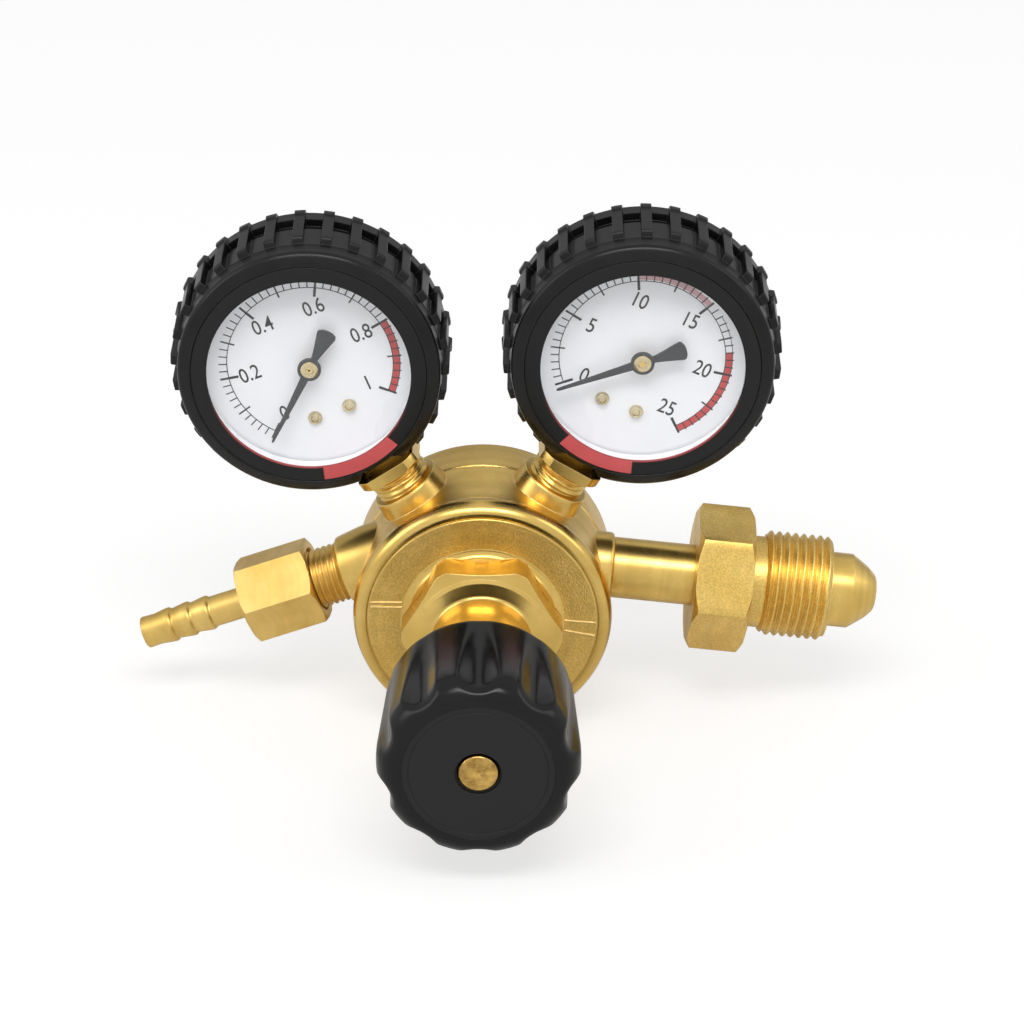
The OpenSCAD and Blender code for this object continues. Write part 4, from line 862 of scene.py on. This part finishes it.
screw_brass = brass(
    "screw_brass", BODY_AXIS, tone=(0.82, 0.53, 0.15), dark=(0.30, 0.17, 0.045), rough=(0.20, 0.30),
    rings=5000.0, ring_depth=0.03, cloud_size=0.0022
)
fitted(screw_piece, "knob", "bright_brass", screw_brass, "adjusting_screw")
KNOB_EDGE_R = DISC_R + 0.7
KNOB_SKIRT_R = KNOB_RIM_R + 0.7
SHOULDER = 5.4
TAPER_START = KNOB_FRONT + 8.0
SKIRT_START = KNOB_REAR - 5.0
REAR_ROUNDING = 0.86
FLUTE_START = KNOB_FRONT - 2.0
FLUTE_RISE = 1.0
GROOVE_BLEND = 1.5


def knob_reach(along, angle):
    """Radius of the knob's outside at a place along its axis and an angle, in mm: a turned shell with
    its flutes cut in, each a round-nosed groove that runs out towards the rear rim."""
    shoulder = min(1.0, max(0.0, (along - KNOB_FRONT) / SHOULDER))
    front = KNOB_EDGE_R + (KNOB_R - KNOB_EDGE_R) * math.sqrt(1 - (1 - shoulder) ** 2)
    taper = min(1.0, max(0.0, (along - TAPER_START) / (SKIRT_START - TAPER_START)))
    shell = min(front, KNOB_R + (KNOB_SKIRT_R - KNOB_R) * taper)
    if along > SKIRT_START:
        share = (along - SKIRT_START) / (KNOB_REAR - SKIRT_START)
        rounding = max(0, share - REAR_ROUNDING) / (1 - REAR_ROUNDING)
        shell = KNOB_SKIRT_R - 0.3 * share - 0.3 * rounding ** 2
    run = (along - FLUTE_START) / (KNOB_REAR - KNOB_FRONT)
    floor_start = KNOB_R - FLUTE_DEPTH + FLUTE_R
    floor_end = KNOB_RIM_R + FLUTE_RISE + FLUTE_R
    middle = floor_start + (floor_end - floor_start) * run
    off = (angle + math.pi / FLUTES) % (2 * math.pi / FLUTES) - math.pi / FLUTES
    inside = FLUTE_R ** 2 - (middle * math.sin(off)) ** 2
    if inside <= 0:
        return shell
    groove = middle * math.cos(off) - math.sqrt(inside)
    gap = shell - groove
    if gap <= -GROOVE_BLEND:
        return shell
    if gap >= GROOVE_BLEND:
        return groove
    softness = (GROOVE_BLEND - abs(gap)) * GROOVE_BLEND * 0.35
    return (shell + groove - math.sqrt(gap * gap + softness)) / 2


rows = [KNOB_FRONT + x for x in (0, 0.05, 0.2, 0.45, 0.8, 1.2, 1.7, 2.3, 3.0, 3.7, 4.4, 5.2, 6.2)]
rows += [KNOB_FRONT + 7.2 + i * 1.35 for i in range(13)]
rows += [KNOB_REAR - x for x in (4.9, 4.2, 3.5, 2.8, 1.8, 0.8, 0.4, 0.15, 0.0)]
bm = spun([(1, along) for along in rows], steps=240)
for vert in bm.verts:
    angle = math.atan2(vert.co.x, -vert.co.y)
    radius = knob_reach(vert.co.z, angle)
    vert.co.x = math.sin(angle) * radius
    vert.co.y = -math.cos(angle) * radius


def inward_rings(bm, from_place, steps):
    """Extrudes the round rim at from_place through (radius, place) steps and returns the last ring."""
    rim = [e for e in bm.edges if e.is_boundary and abs(e.verts[0].co.z - from_place) < 1e-6]
    for radius, along in steps:
        verts, rim = next_ring(bm, rim)
        for vert in verts:
            set_reach(vert, radius)
            vert.co.z = along
    return rim


front_rim = inward_rings(bm, KNOB_FRONT, [
    (15.95, KNOB_FRONT),
    (15.64, KNOB_FRONT + 0.02),
    (15.61, KNOB_FRONT + 0.06),
    (15.61, KNOB_FRONT + 1.6),
    (5.0, KNOB_FRONT + 1.6),
    (5.0, KNOB_FRONT + 2.6),
])
rear_rim = inward_rings(bm, KNOB_REAR, [
    (18.2, KNOB_REAR),
    (15.3, KNOB_REAR),
    (15.0, KNOB_REAR - 0.3),
    (15.0, KNOB_WEB + 1.5),
    (14.6, KNOB_WEB + 0.5),
    (13.6, KNOB_WEB),
    (5.0, KNOB_WEB),
])
bmesh.ops.bridge_loops(bm, edges=front_rim + rear_rim)
knob_piece = object_of(in_place(bm, BODY_AXIS), "knob", crease=40)


def moulded(
    name, colour, rough, specular=0.4, bump=0.01, size=0.0004, cloudiness=1.25, edge=0.0002, lift=1.6
):
    """Moulded plastic or rubber: its skin's fine texture, cloudy gloss and paler edges, partly wear and
    partly a painted highlight; lift is how much paler.
    """
    made, tree, shader = principled(name, Specular_IOR_Level=specular)
    here = add_node(tree, "ShaderNodeTexCoord").outputs["Object"]
    cloud = noise(tree, here, 120.0, 4.0)
    skin = noise(tree, here, 1 / size, 2.0)
    edge_wear_and_sheen = use_group(tree, worn_and_sheen_edges, {"Radius": edge})
    tint = spread(tree, cloud, 1 / cloudiness, cloudiness, 0.3, 0.7)
    tone = mixed(tree, 1.0, colour, tint, "MULTIPLY")
    pale_edge_wear_and_sheen = tuple(part * lift for part in colour)
    dress(
        tree,
        shader,
        mixed(tree, edge_wear_and_sheen["Edge"], tone, pale_edge_wear_and_sheen),
        spread(tree, cloud, *rough, 0.3, 0.7),
        bumped(tree, skin, bump * MM, edge_wear_and_sheen["Rounded"]),
    )
    return made


knob_plastic = moulded("knob_plastic", (0.006, 0.0058, 0.0056), (0.15, 0.24), bump=0.002, specular=0.27)
fitted(knob_piece, "knob", "knob_plastic", knob_plastic, "knob")
DISC_FACE = KNOB_FRONT + 0.06
disc_outline = softened(
    [
        (4.75, DISC_FACE),
        (14.1, DISC_FACE, 0.06),
        (14.25, DISC_FACE + 0.16, 0.06),
        (14.4, DISC_FACE, 0.06),
        (15.59, DISC_FACE, 0.03),
        (15.59, DISC_FACE + 1.2, 0.1),
        (4.28, DISC_FACE + 1.2, 0.1),
        (4.28, DISC_FACE + 0.8, 0.1),
        (4.75, DISC_FACE + 0.6, 0.1),
    ],
    fillet=0.15,
    closed=True,
)
disc_piece = object_of(turned(disc_outline, BODY_AXIS, closed=True, steps=144), "knob_disc")
disc_plastic = moulded(
    "disc_plastic", (0.012, 0.012, 0.012), (0.42, 0.52), bump=0.004, cloudiness=1.1, specular=0.3
)
fitted(disc_piece, "knob", "disc_plastic", disc_plastic, "knob_disc")

# Inner pieces: valve, springs, diaphragm, filter and gauge movements, of steel, brass, rubber and
# sintered bronze. They keep their CAD shapes and only get a better finish.
def cloudy(name, tone, rough, waves=400.0, detail=4.0, shade=0.8, metallic=1.0):
    """A plain surface that is a little uneven in tone and gloss; shade is its darkest share of tone."""
    made, tree, shader = principled(name, Metallic=metallic)
    here = add_node(tree, "ShaderNodeTexCoord").outputs["Object"]
    cloud = noise(tree, here, waves, detail)
    dark = tuple(part * shade for part in tone)
    dress(tree, shader, mixed(tree, cloud, dark, tone), spread(tree, cloud, *rough))
    return made


spring_steel = cloudy("spring_steel", (0.56, 0.57, 0.58), (0.22, 0.38))
inner_rubber = moulded("diaphragm_rubber", (0.03, 0.03, 0.03), (0.5, 0.65), size=0.0008, bump=0.02)
bronze = cloudy("filter_bronze", (0.45, 0.28, 0.12), (0.5, 0.7))
inner_brass = brass("inner_brass", BODY_AXIS, rough=(0.2, 0.3))
inner_finish = {
    spring_steel: [
        "slip_ring", "main_spring", "spring_button", "retaining_ring", "valve_poppet", "valve_spring"
    ],
    inner_rubber: ["diaphragm", "valve_seat"],
    bronze: ["inlet_filter"],
    inner_brass: ["diaphragm_plate", "valve_nozzle"],
}
for side in ("left", "right"):
    for part in ("pinion", "movement", "sector", "bourdon_tube"):
        inner_finish[inner_brass].append(f"{side}_{part}")
    inner_finish[spring_steel].append(f"{side}_link")
for finish, names in inner_finish.items():
    for name in names:
        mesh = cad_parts[name].data
        mesh.materials.clear()
        mesh.materials.append(finish)

# Rubber boots: each gauge wears a moulded rubber boot with 30 ribs, and pockets between them that step
# down to a deeper slot at the rear. Bumps on the rear rim follow the ribs; the stem leaves by a notch.
GAUGE_DISTANCE = 65.8
GAUGES = {
    side: Matrix.Translation((
        AXIS_X + GAUGE_DISTANCE * MM * math.sin(bearing),
        FLANGE_Y + PORT_PLACE * MM,
        AXIS_Z + GAUGE_DISTANCE * MM * math.cos(bearing),
    )) @ Matrix.Rotation(bearing, 4, "Y") @ Matrix.Rotation(-math.pi / 2, 4, "X")
    for side, bearing in (("left", LEFT_BEARING), ("right", RIGHT_BEARING))
}
RIBS = 30
RIB_EDGES = (-1.6, -0.8, 0.8, 1.6, 2.16, 2.5, 3.0, 6.0, 9.0, 9.5, 9.84, 10.0)
POCKET_FIRST = 5
POCKET_LAST = 9
POCKET_START = -2.7
POCKET_R = 28.2
SLOT_START = 5.2
SLOT_R = 27.3
SLOT_END = 8.35
REAR_DIP_R = 29.0
BOOT_INSIDE_R = 27.0
boot_rows = [
    (25.05, -7.45), (25.05, -7.85), (25.15, -8.0), (25.35, -8.05), (25.9, -7.8), (27.1, -7.1), (27.55, -6.85),
    (27.8, -6.55), (27.95, -6.2), (28.0, -5.6), (28.15, -3.2), (28.3, -2.85), (29.35, -2.55), (29.6, -2.3),
    (29.65, -2.1), (29.7, -1.9), (29.7, -1.0), (29.7, 4.6), (29.7, 5.15), (29.7, 5.3), (29.7, 6.0),
    (29.7, 8.25), (29.7, 8.42), (29.75, 8.7), (29.85, 8.9), (30.0, 9.15), (30.05, 9.4), (30.05, 10.8),
    (29.9, 11.2), (29.4, 11.7), (28.7, 12.0), (28.3, 12.1), (19.6, 12.1), (19.2, 11.95), (19.0, 11.6),
    (19.0, 10.45), (24.35, 10.45), (25.25, 9.5), (25.25, -2.35), (26.05, -2.35), (26.05, -7.15),
    (25.75, -7.45),
]


def pocket_reach(radius, along):
    """How far the boot reaches inside a pocket, at a place along the gauge's axis."""
    if along < POCKET_START or radius < BOOT_INSIDE_R:
        return radius
    if along < SLOT_START:
        return POCKET_R
    if along < SLOT_END:
        return SLOT_R
    return min(radius, REAR_DIP_R)


# The boot's edges are painted five times paler than the rubber: partly wear, partly a painted highlight along
# the shoulder's edge.
boot_rubber = moulded(
    "boot_rubber", (0.0065, 0.0065, 0.0063), (0.18, 0.32), bump=0.006, size=0.00035, edge=0.00030, lift=5.0,
    specular=0.26
)
BOOT_STEPS = RIBS * len(RIB_EDGES)
notch_outline = [(0, 24.2), (8.68, 24.2), (8.68, 33.0), (0, 33.0)]
for side, place in GAUGES.items():
    bm = spun(boot_rows, BOOT_STEPS, closed=True)
    for vert in bm.verts:
        index = round(math.atan2(vert.co.y, vert.co.x) / (2 * math.pi) * BOOT_STEPS) % BOOT_STEPS
        rib, part = divmod(index, len(RIB_EDGES))
        radius = reach_of(vert)
        if POCKET_FIRST <= part <= POCKET_LAST:
            radius = pocket_reach(radius, vert.co.z)
        angle = math.radians(rib * 360 / RIBS + RIB_EDGES[part])
        vert.co.x = math.cos(angle) * radius
        vert.co.y = math.sin(angle) * radius
    boot = object_of(in_place(bm, place), side + "_boot")
    stem_place = place @ Matrix.Rotation(-math.pi / 2, 4, "X")
    cut_with(boot, object_of(turned(notch_outline, stem_place, steps=64), "notch"), "DIFFERENCE")
    recreased(boot)
    fitted(boot, "regulator", "boot_rubber", boot_rubber, side + "_boot")

# Bezels: pressed steel rings in black enamel that hold the lens. A crease parts the ring from the boot,
# and a red sector is painted on the ring's foot, with a thin red line round the opening beside it.
BEZEL_OPENING = 21.65
BEZEL_CREASE = 25.0
BEZEL_FACE = -8.0
RED_RING = (21.75, 24.75)
RED_LINE = (21.5, 21.95)
RED_LINE_ANGLES = (-60.0, 60.0)
RED_SECTORS = {"left": (7.0, 49.0), "right": (-45.0, -5.0)}
# Turn of each gauge that brings its drawing's Y to straight down.
DOWN_TURN = {"left": -LEFT_BEARING, "right": -RIGHT_BEARING}
bezel_outline = softened(
    [
        (BEZEL_OPENING, BEZEL_FACE, 0.25),
        (BEZEL_CREASE - 0.1, BEZEL_FACE, 0.3),
        (BEZEL_CREASE, BEZEL_FACE + 0.1, 0.1),
        (BEZEL_CREASE, BEZEL_FACE + 0.3, 0.1),
        (25.7, BEZEL_FACE + 0.5, 0.1),
        (26.0, BEZEL_FACE + 0.9, 0.1),
        (26.0, -2.4, 0.1),
        (25.25, -2.4, 0.1),
        (25.25, -7.3, 0.1),
        (BEZEL_OPENING, -7.4, 0.2),
    ],
    closed=True,
)


def bezel_enamel(side, place):
    """Black enamel with the red sector: a mask by radius and by angle round the gauge's axis."""
    made, tree, shader = principled(side + "_bezel_enamel", Specular_IOR_Level=0.3)
    where = local_place(tree, place @ Matrix.Rotation(DOWN_TURN[side], 4, "Z"))
    x, y, z, reach = round_axis(tree, where)
    angle = maths(tree, "ARCTAN2", x, y)

    def between(value, ends, soft, unit):
        """1 where the value lies between two ends, with soft edges; ends and soft are in the unit."""
        low, high = (end * unit for end in ends)
        off = maths(tree, "ABSOLUTE", maths(tree, "SUBTRACT", value, (low + high) / 2))
        return spread(tree, off, 0.0, 1.0, (high - low) / 2 + soft * unit, (high - low) / 2 - soft * unit)

    degree = math.radians(1)
    in_ring = between(reach, RED_RING, 0.05, MM)
    in_sector = between(angle, RED_SECTORS[side], 0.23, degree)
    in_line = between(reach, RED_LINE, 0.08, MM)
    beside = between(angle, RED_LINE_ANGLES, 14.3, degree)
    faint_line = maths(tree, "MULTIPLY", maths(tree, "MULTIPLY", in_line, beside), 0.55)
    painted = maths(tree, "MAXIMUM", maths(tree, "MULTIPLY", in_ring, in_sector), faint_line)
    cloud = noise(tree, where, 160.0, 4.0)
    red = mixed(tree, cloud, (0.58, 0.075, 0.078), (0.78, 0.14, 0.145))
    black = mixed(tree, cloud, (0.007, 0.0075, 0.0075), (0.011, 0.011, 0.011))
    edge_wear_and_sheen = use_group(tree, worn_and_sheen_edges, {"Radius": 0.0002})
    dress(tree, shader, mixed(tree, painted, black, red), spread(tree, cloud, 0.30, 0.44), edge_wear_and_sheen["Rounded"])
    return made


for side, place in GAUGES.items():
    bezel = object_of(turned(bezel_outline, place, closed=True, steps=144), side + "_bezel")
    fitted(bezel, "regulator", "bezel_black", bezel_enamel(side, place), side + "_bezel")

# Cases, dials and lenses: a drawn steel case and a printed dial in white enamel, under a flat clear
# plastic lens. A white spacer ring holds the dial and shows as a pale rim between it and the bezel.
case_outline = softened(
    [
        (0, 10.4),
        (24.2, 10.4, 0.5),
        (25.2, 9.4, 0.5),
        (25.2, -5.9, 0.1),
        (24.5, -5.9, 0.1),
        (24.5, 9.1, 0.3),
        (23.9, 9.7, 0.3),
        (0, 9.7),
    ],
)
spacer_outline = softened([(22.6, -2.0), (24.4, -2.0), (24.4, -5.85), (23.0, -5.85)], fillet=0.1, closed=True)
dial_outline = softened([(1.2, -1.5), (23.8, -1.5), (23.8, -1.0), (1.2, -1.0)], fillet=0.08, closed=True)
lens_outline = softened([(0, -7.35), (25.1, -7.35), (25.1, -5.9), (0, -5.9)], fillet=0.08)


def clear_plastic():
    """Clear plastic that lets lamp light through to the dial, faintly scratched."""
    made, tree, shader = principled(
        "lens_clear", Base_Color=(1, 1, 1, 1), Metallic=0.0, Transmission_Weight=1.0, IOR=1.45
    )
    here = add_node(tree, "ShaderNodeTexCoord").outputs["Object"]
    gloss = spread(tree, noise(tree, here, 500.0, 3.0), 0.0, 0.03)
    tree.links.new(gloss, shader.inputs["Roughness"])
    both = add_node(tree, "ShaderNodeMixShader", {
        0: add_node(tree, "ShaderNodeLightPath").outputs["Is Shadow Ray"],
        1: shader.outputs[0],
        2: add_node(tree, "ShaderNodeBsdfTransparent").outputs[0],
    })
    tree.links.new(both.outputs[0], tree.nodes["Material Output"].inputs["Surface"])
    return made


plug_outline = softened([(0, 9.3), (3.9, 9.3), (3.9, 10.45), (5.0, 10.45), (4.6, 11.4), (0, 11.6)])
white_enamel = {"waves": 60.0, "detail": 3.0, "shade": 0.965, "metallic": 0.0}
case_white = cloudy("case_white", (0.88, 0.89, 0.91), (0.32, 0.42), **white_enamel)
dial_white = cloudy("dial_white", (0.91, 0.92, 0.95), (0.32, 0.42), **white_enamel)
lens_clear = clear_plastic()
for side, place in GAUGES.items():
    case = object_of(turned(case_outline, place), side + "_case")
    fitted(case, "regulator", "white_enamel", case_white, side + "_case")
    dial = object_of(turned(dial_outline, place, closed=True), side + "_dial")
    fitted(dial, "regulator", "white_enamel", dial_white, side + "_dial")
    spacer = object_of(turned(spacer_outline, place, closed=True), side + "_spacer_ring")
    fitted(spacer, "regulator", "white_enamel", case_white)
    cover = object_of(turned(lens_outline, place), side + "_lens")
    fitted(cover, "regulator", "lens", lens_clear, side + "_lens")
    plug = object_of(turned(plug_outline, place), side + "_vent_plug")
    fitted(plug, "regulator", "boot_rubber", boot_rubber, side + "_vent_plug")

# Dial prints: screen-printed scales in black, with the danger range in red. Both dials sweep 265
# degrees clockwise; their figures stand upright on the dial, which is turned a little about its axis.
SWEEP = 265.0
DIAL_TURN = {"left": math.radians(22), "right": math.radians(-23)}
INK_LOW = 1.49
INK_HIGH = 1.53
ARC_R = 17.45
BAND_R = 18.85
# Ticks: inner radius, outer radius and width.
MAJOR_TICKS = ((15.4, ARC_R, 0.56), (ARC_R, 19.3, 0.46))
HALF_TICK = (16.3, 19.3, 0.34)
FINE_TICK = (17.4, 19.2, 0.25)
LABEL_R = 12.9
FIGURE_SIZE = 4.75
FIGURE_WIDTH = 0.80
FIGURE_WEIGHT = 0.02
DIVISIONS = 10
LABELS = {
    "left": ("0", "0.2", "0.4", "0.6", "0.8", "1"),
    "right": ("0", "5", "10", "15", "20", "25"),
}
# Shares of the scale: the red bands, the thin lines outside them, and the paler rose band.
RED_BANDS = {"left": (0.8, 1.0), "right": (0.74, 1.0)}
THIN_LINES = {"left": (0.8, 1.0), "right": (0.64, 1.0)}
ROSE_BANDS = {"right": (0.4, 0.6)}


def dial_place(side):
    """Puts the dial's print upright on it: X to the right, Y up on the dial, Z towards the reader."""
    turn = DIAL_TURN[side]
    axes = Matrix((
        (math.cos(turn), -math.sin(turn), 0, 0),
        (0, 0, -1, 0),
        (math.sin(turn), math.cos(turn), 0, 0),
        (0, 0, 0, 1),
    ))
    return Matrix.Translation(GAUGES[side].to_translation()) @ axes


def add_arc(bm, inner, outer, start, end, low=INK_LOW, high=INK_HIGH):
    """A flat band of print between two scale fractions."""
    first = math.radians(SWEEP * start - SWEEP / 2)
    angle = math.radians(SWEEP * (end - start))
    corners = [
        bm.verts.new((radius * math.sin(first), radius * math.cos(first), height))
        for radius, height in ((inner, low), (outer, low), (outer, high), (inner, high))
    ]
    face = bm.faces.new(corners)
    bmesh.ops.spin(
        bm, geom=[face], cent=(0, 0, 0), axis=(0, 0, -1), angle=angle, steps=max(2, round(90 * (end - start)))
    )


def add_tick(bm, inner, outer, width, fraction):
    """A straight tick of print across the scale."""
    angle = math.radians(SWEEP * fraction - SWEEP / 2)
    turn = Matrix.Rotation(-angle, 4, "Z")
    size = Matrix.Diagonal((width, outer - inner, INK_HIGH - INK_LOW, 1))
    middle = Matrix.Translation((0, (inner + outer) / 2, (INK_HIGH + INK_LOW) / 2))
    bmesh.ops.create_cube(bm, size=1, matrix=turn @ middle @ size)


def add_figure(bm, text, x, y):
    """A number of print, set upright with its middle at x, y."""
    curve = bpy.data.curves.new("figure", "FONT")
    curve.body = text
    curve.size = FIGURE_SIZE
    curve.align_x = "CENTER"
    curve.align_y = "CENTER"
    curve.offset = FIGURE_WEIGHT
    curve.extrude = (INK_HIGH - INK_LOW) / 2
    curve.resolution_u = 6
    holder = bpy.data.objects.new("figure", curve)
    bpy.context.scene.collection.objects.link(holder)
    bpy.context.view_layer.update()
    mesh = bpy.data.meshes.new_from_object(holder.evaluated_get(bpy.context.evaluated_depsgraph_get()))
    middle = Matrix.Translation((x, y, (INK_HIGH + INK_LOW) / 2))
    mesh.transform(middle @ Matrix.Diagonal((FIGURE_WIDTH, 1, 1, 1)))
    bm.from_mesh(mesh)
    bpy.data.objects.remove(holder)
    bpy.data.curves.remove(curve)
    bpy.data.meshes.remove(mesh)


black_ink = moulded("black_ink", (0.012, 0.012, 0.013), (0.5, 0.6), bump=0.0, cloudiness=1.1, lift=1.0)
red_ink = moulded("red_ink", (0.56, 0.05, 0.05), (0.45, 0.55), bump=0.0, cloudiness=1.06, lift=1.0)
rose_ink = moulded("rose_ink", (0.62, 0.36, 0.38), (0.5, 0.6), bump=0.0, cloudiness=1.1, lift=1.0)


def printed(bm, side, name, ink):
    """Puts a print on its dial."""
    fitted(object_of(in_place(bm, dial_place(side)), f"{side}_dial_{name}"), "regulator", "white_enamel", ink)


for side, labels in LABELS.items():
    majors = len(labels) - 1
    ticks = majors * DIVISIONS
    bm = bmesh.new()
    add_arc(bm, ARC_R - 0.09, ARC_R + 0.09, 0.0, 1.0)
    for i in range(ticks + 1):
        if i % DIVISIONS == 0:
            for tick in MAJOR_TICKS:
                add_tick(bm, *tick, i / ticks)
        elif i % DIVISIONS == DIVISIONS // 2:
            add_tick(bm, *HALF_TICK, i / ticks)
        else:
            add_tick(bm, *FINE_TICK, i / ticks)
    add_arc(bm, BAND_R, BAND_R + 0.13, *THIN_LINES[side])
    for i, label in enumerate(labels):
        angle = math.radians(SWEEP * i / majors - SWEEP / 2)
        add_figure(bm, label, LABEL_R * math.sin(angle), LABEL_R * math.cos(angle))
    printed(bm, side, "scale", black_ink)
    bm = bmesh.new()
    add_arc(bm, ARC_R + 0.02, BAND_R, *RED_BANDS[side], low=INK_LOW - 0.005, high=INK_HIGH - 0.012)
    printed(bm, side, "red", red_ink)
for side, band in ROSE_BANDS.items():
    bm = bmesh.new()
    add_arc(bm, ARC_R + 0.3, 19.0, *band, low=INK_LOW - 0.005, high=INK_HIGH - 0.012)
    printed(bm, side, "rose", rose_ink)

# Dial screws: two brass screws fix each dial to the socket's block. Their pan heads have a turned rim
# round a sunk middle, which holds a crossed slot.
SCREW_PLACE = 12.6
SCREW_ANGLE = math.radians(18)
SLOT_WIDTH = 0.42
SLOT_LENGTH = 1.9
SLOT_DEPTH = 0.9
SLOT_HEIGHT = 2.3
SLOT_TURN = 0.9
head_outline = softened(
    [
        (0, 1.95),
        (0.7, 2.0, 0.05),
        (0.85, 2.4, 0.05),
        (1.2, 2.38, 0.1),
        (1.5, 1.9, 0.2),
        (1.5, 1.5),
        (1.0, 1.5),
        (1.0, -1.9),
        (0, -1.9),
    ],
    fillet=0.1,
)
for side in GAUGES:
    place = dial_place(side)
    bm = bmesh.new()
    crossed = (bmesh.new(), bmesh.new())
    for turn in (-1, 1):
        spot = (
            Matrix.Rotation(turn * SCREW_ANGLE, 4, "Z")
            @ Matrix.Translation((0, -SCREW_PLACE * MM, 0))
            @ Matrix.Rotation(turn * SLOT_TURN, 4, "Z")
        )
        one = turned(head_outline, place @ spot, steps=48)
        mesh = bpy.data.meshes.new("one")
        one.to_mesh(mesh)
        one.free()
        bm.from_mesh(mesh)
        bpy.data.meshes.remove(mesh)
        for slots, size in zip(crossed, ((SLOT_WIDTH, SLOT_LENGTH), (SLOT_LENGTH, SLOT_WIDTH))):
            deep = Matrix.Translation((0, 0, SLOT_HEIGHT)) @ Matrix.Diagonal((*size, SLOT_DEPTH, 1))
            bmesh.ops.create_cube(slots, size=1, matrix=place @ spot @ Matrix.Scale(MM, 4) @ deep)
    screws = object_of(bm, side + "_dial_screws")
    for slots in crossed:
        cut_with(screws, object_of(slots, "slots"), "DIFFERENCE")
    recreased(screws)
    finish = brass(
        side + "_dial_screw_brass", place, tone=(0.74, 0.64, 0.42), dark=(0.55, 0.47, 0.29),
        rough=(0.16, 0.26), rings=8000.0, edge=0.00003
    )
    fitted(screws, "regulator", "bright_brass", finish, side + "_dial_screws")

# Pointers: stamped from sheet with a spade tail and painted black. A brass bush is riveted through the
# hub and pressed on the staff, whose turned end shows as a dimple. Both rest at zero.
POINTER_LOW = 4.0
POINTER_FACE = 4.5
HUB_R = 2.5
pointer_points = [
    (-0.95, 0), (-0.26, 18.6), (-0.12, 19.15), (0.12, 19.15), (0.26, 18.6), (0.95, 0), (0.72, -2.8),
    (1.15, -4.8), (2.1, -8.6), (1.95, -9.15), (1.1, -9.6), (0, -9.75), (-1.1, -9.6), (-1.95, -9.15),
    (-2.1, -8.6), (-1.15, -4.8), (-0.72, -2.8),
]
hub_outline = softened([
    (0, POINTER_LOW),
    (HUB_R, POINTER_LOW, 0),
    (HUB_R - 0.05, POINTER_LOW + 0.25, 0),
    (HUB_R - 0.0125, POINTER_LOW + 0.3125, 0),
    (HUB_R, POINTER_LOW + 0.4, 0),
    (HUB_R, 4.9, 0.15),
    (2.0, 4.9, 0.1),
    (1.98, 4.7, 0.05),
    (0, 4.7),
])
bush_outline = softened(
    [
        (0, 4.3),
        (0.3, 4.55, 0.1),
        (0.5, 5.0, 0.1),
        (0.8, 5.05, 0.1),
        (1.0, 4.92, 0.1),
        (1.5, 4.92, 0.2),
        (1.92, 4.8, 0.15),
        (1.92, 4.5),
        (0, 4.5),
    ],
    fillet=0.1,
)
pointer_paint = moulded(
    "pointer_paint", (0.030, 0.032, 0.035), (0.42, 0.52), bump=0.002, cloudiness=1.1, edge=0.0001, lift=1.5
)
for side in GAUGES:
    place = dial_place(side) @ Matrix.Rotation(math.radians(SWEEP / 2), 4, "Z")
    bm = bmesh.new()
    sheet = bm.faces.new([bm.verts.new((x, y, POINTER_LOW)) for x, y in pointer_points])
    raised = bmesh.ops.extrude_face_region(bm, geom=[sheet])["geom"]
    face_verts = [item for item in raised if isinstance(item, bmesh.types.BMVert)]
    bmesh.ops.translate(bm, vec=(0, 0, POINTER_FACE - POINTER_LOW), verts=face_verts)
    pointer = object_of(in_place(bm, place), side + "_pointer")
    cut_with(pointer, object_of(turned(hub_outline, place, steps=64), "hub"), "UNION")
    recreased(pointer)
    fitted(pointer, side + "_pointer", "pointer_black", pointer_paint, side + "_pointer")
    finish = brass(
        side + "_bush_brass", place, tone=(0.72, 0.60, 0.36), dark=(0.52, 0.42, 0.23), rough=(0.16, 0.26),
        edge=0.00004, rings=9000.0, ring_depth=0.006
    )
    bush = object_of(turned(bush_outline, place, steps=64), side + "_pointer_bush")
    fitted(bush, side + "_pointer", "bright_brass", finish)

# Gauge sockets: turned from square brass bar. The pipe thread screws into the body's boss and shows a
# little above it; the square takes the spanner, and the block in the case carries tube and dial.
SQUARE_FLATS = 14.0
socket_thread = {
    "crest_r": 6.4,
    "depth": 0.6,
    "pitch": OUTLET_PITCH,
    "start": 30.6,
    "end": 41.1,
    "bore_r": 1.5,
    "lead_in": 0.5,
}
cone_outline = softened([(0, 28.2), (8.4, 28.2), (8.4, 30.4), (7.7, 30.9), (0, 30.9)])


def cube_object(name, middle, size, place):
    """A plain block, with its middle and its size in mm, put in its place."""
    bm = bmesh.new()
    bmesh.ops.create_cube(bm, size=1, matrix=Matrix.Translation(middle) @ Matrix.Diagonal((*size, 1)))
    return object_of(in_place(bm, place), name)


for side, place in GAUGES.items():
    stem_place = place @ Matrix.Rotation(-math.pi / 2, 4, "X")
    finish = brass(
        side + "_socket_brass", stem_place, tone=(0.86, 0.60, 0.18), rough=(0.18, 0.28), ring_depth=0.006
    )
    thread = object_of(threaded(place=stem_place, **socket_thread), side + "_socket_thread")
    fitted(thread, "regulator", "bright_brass", finish)
    socket = cube_object(side + "_socket", (0, 0, 29.8), (SQUARE_FLATS, SQUARE_FLATS, 3.0), stem_place)
    cut_with(socket, object_of(turned(cone_outline, stem_place), "cone"), "INTERSECT")
    cut_with(socket, cube_object("block", (0, 15.8, 2.5), (17, 12.6, 7), place), "UNION")
    neck = object_of(turned([(0, 17.5), (5.6, 17.5), (5.6, 28.5), (0, 28.5)], stem_place, steps=64), "neck")
    cut_with(neck, cube_object("behind", (0, 23, 9), (20, 20, 20), place), "INTERSECT")
    cut_with(socket, neck, "UNION")
    recreased(socket)
    fitted(socket, "regulator", "bright_brass", finish, side + "_socket")
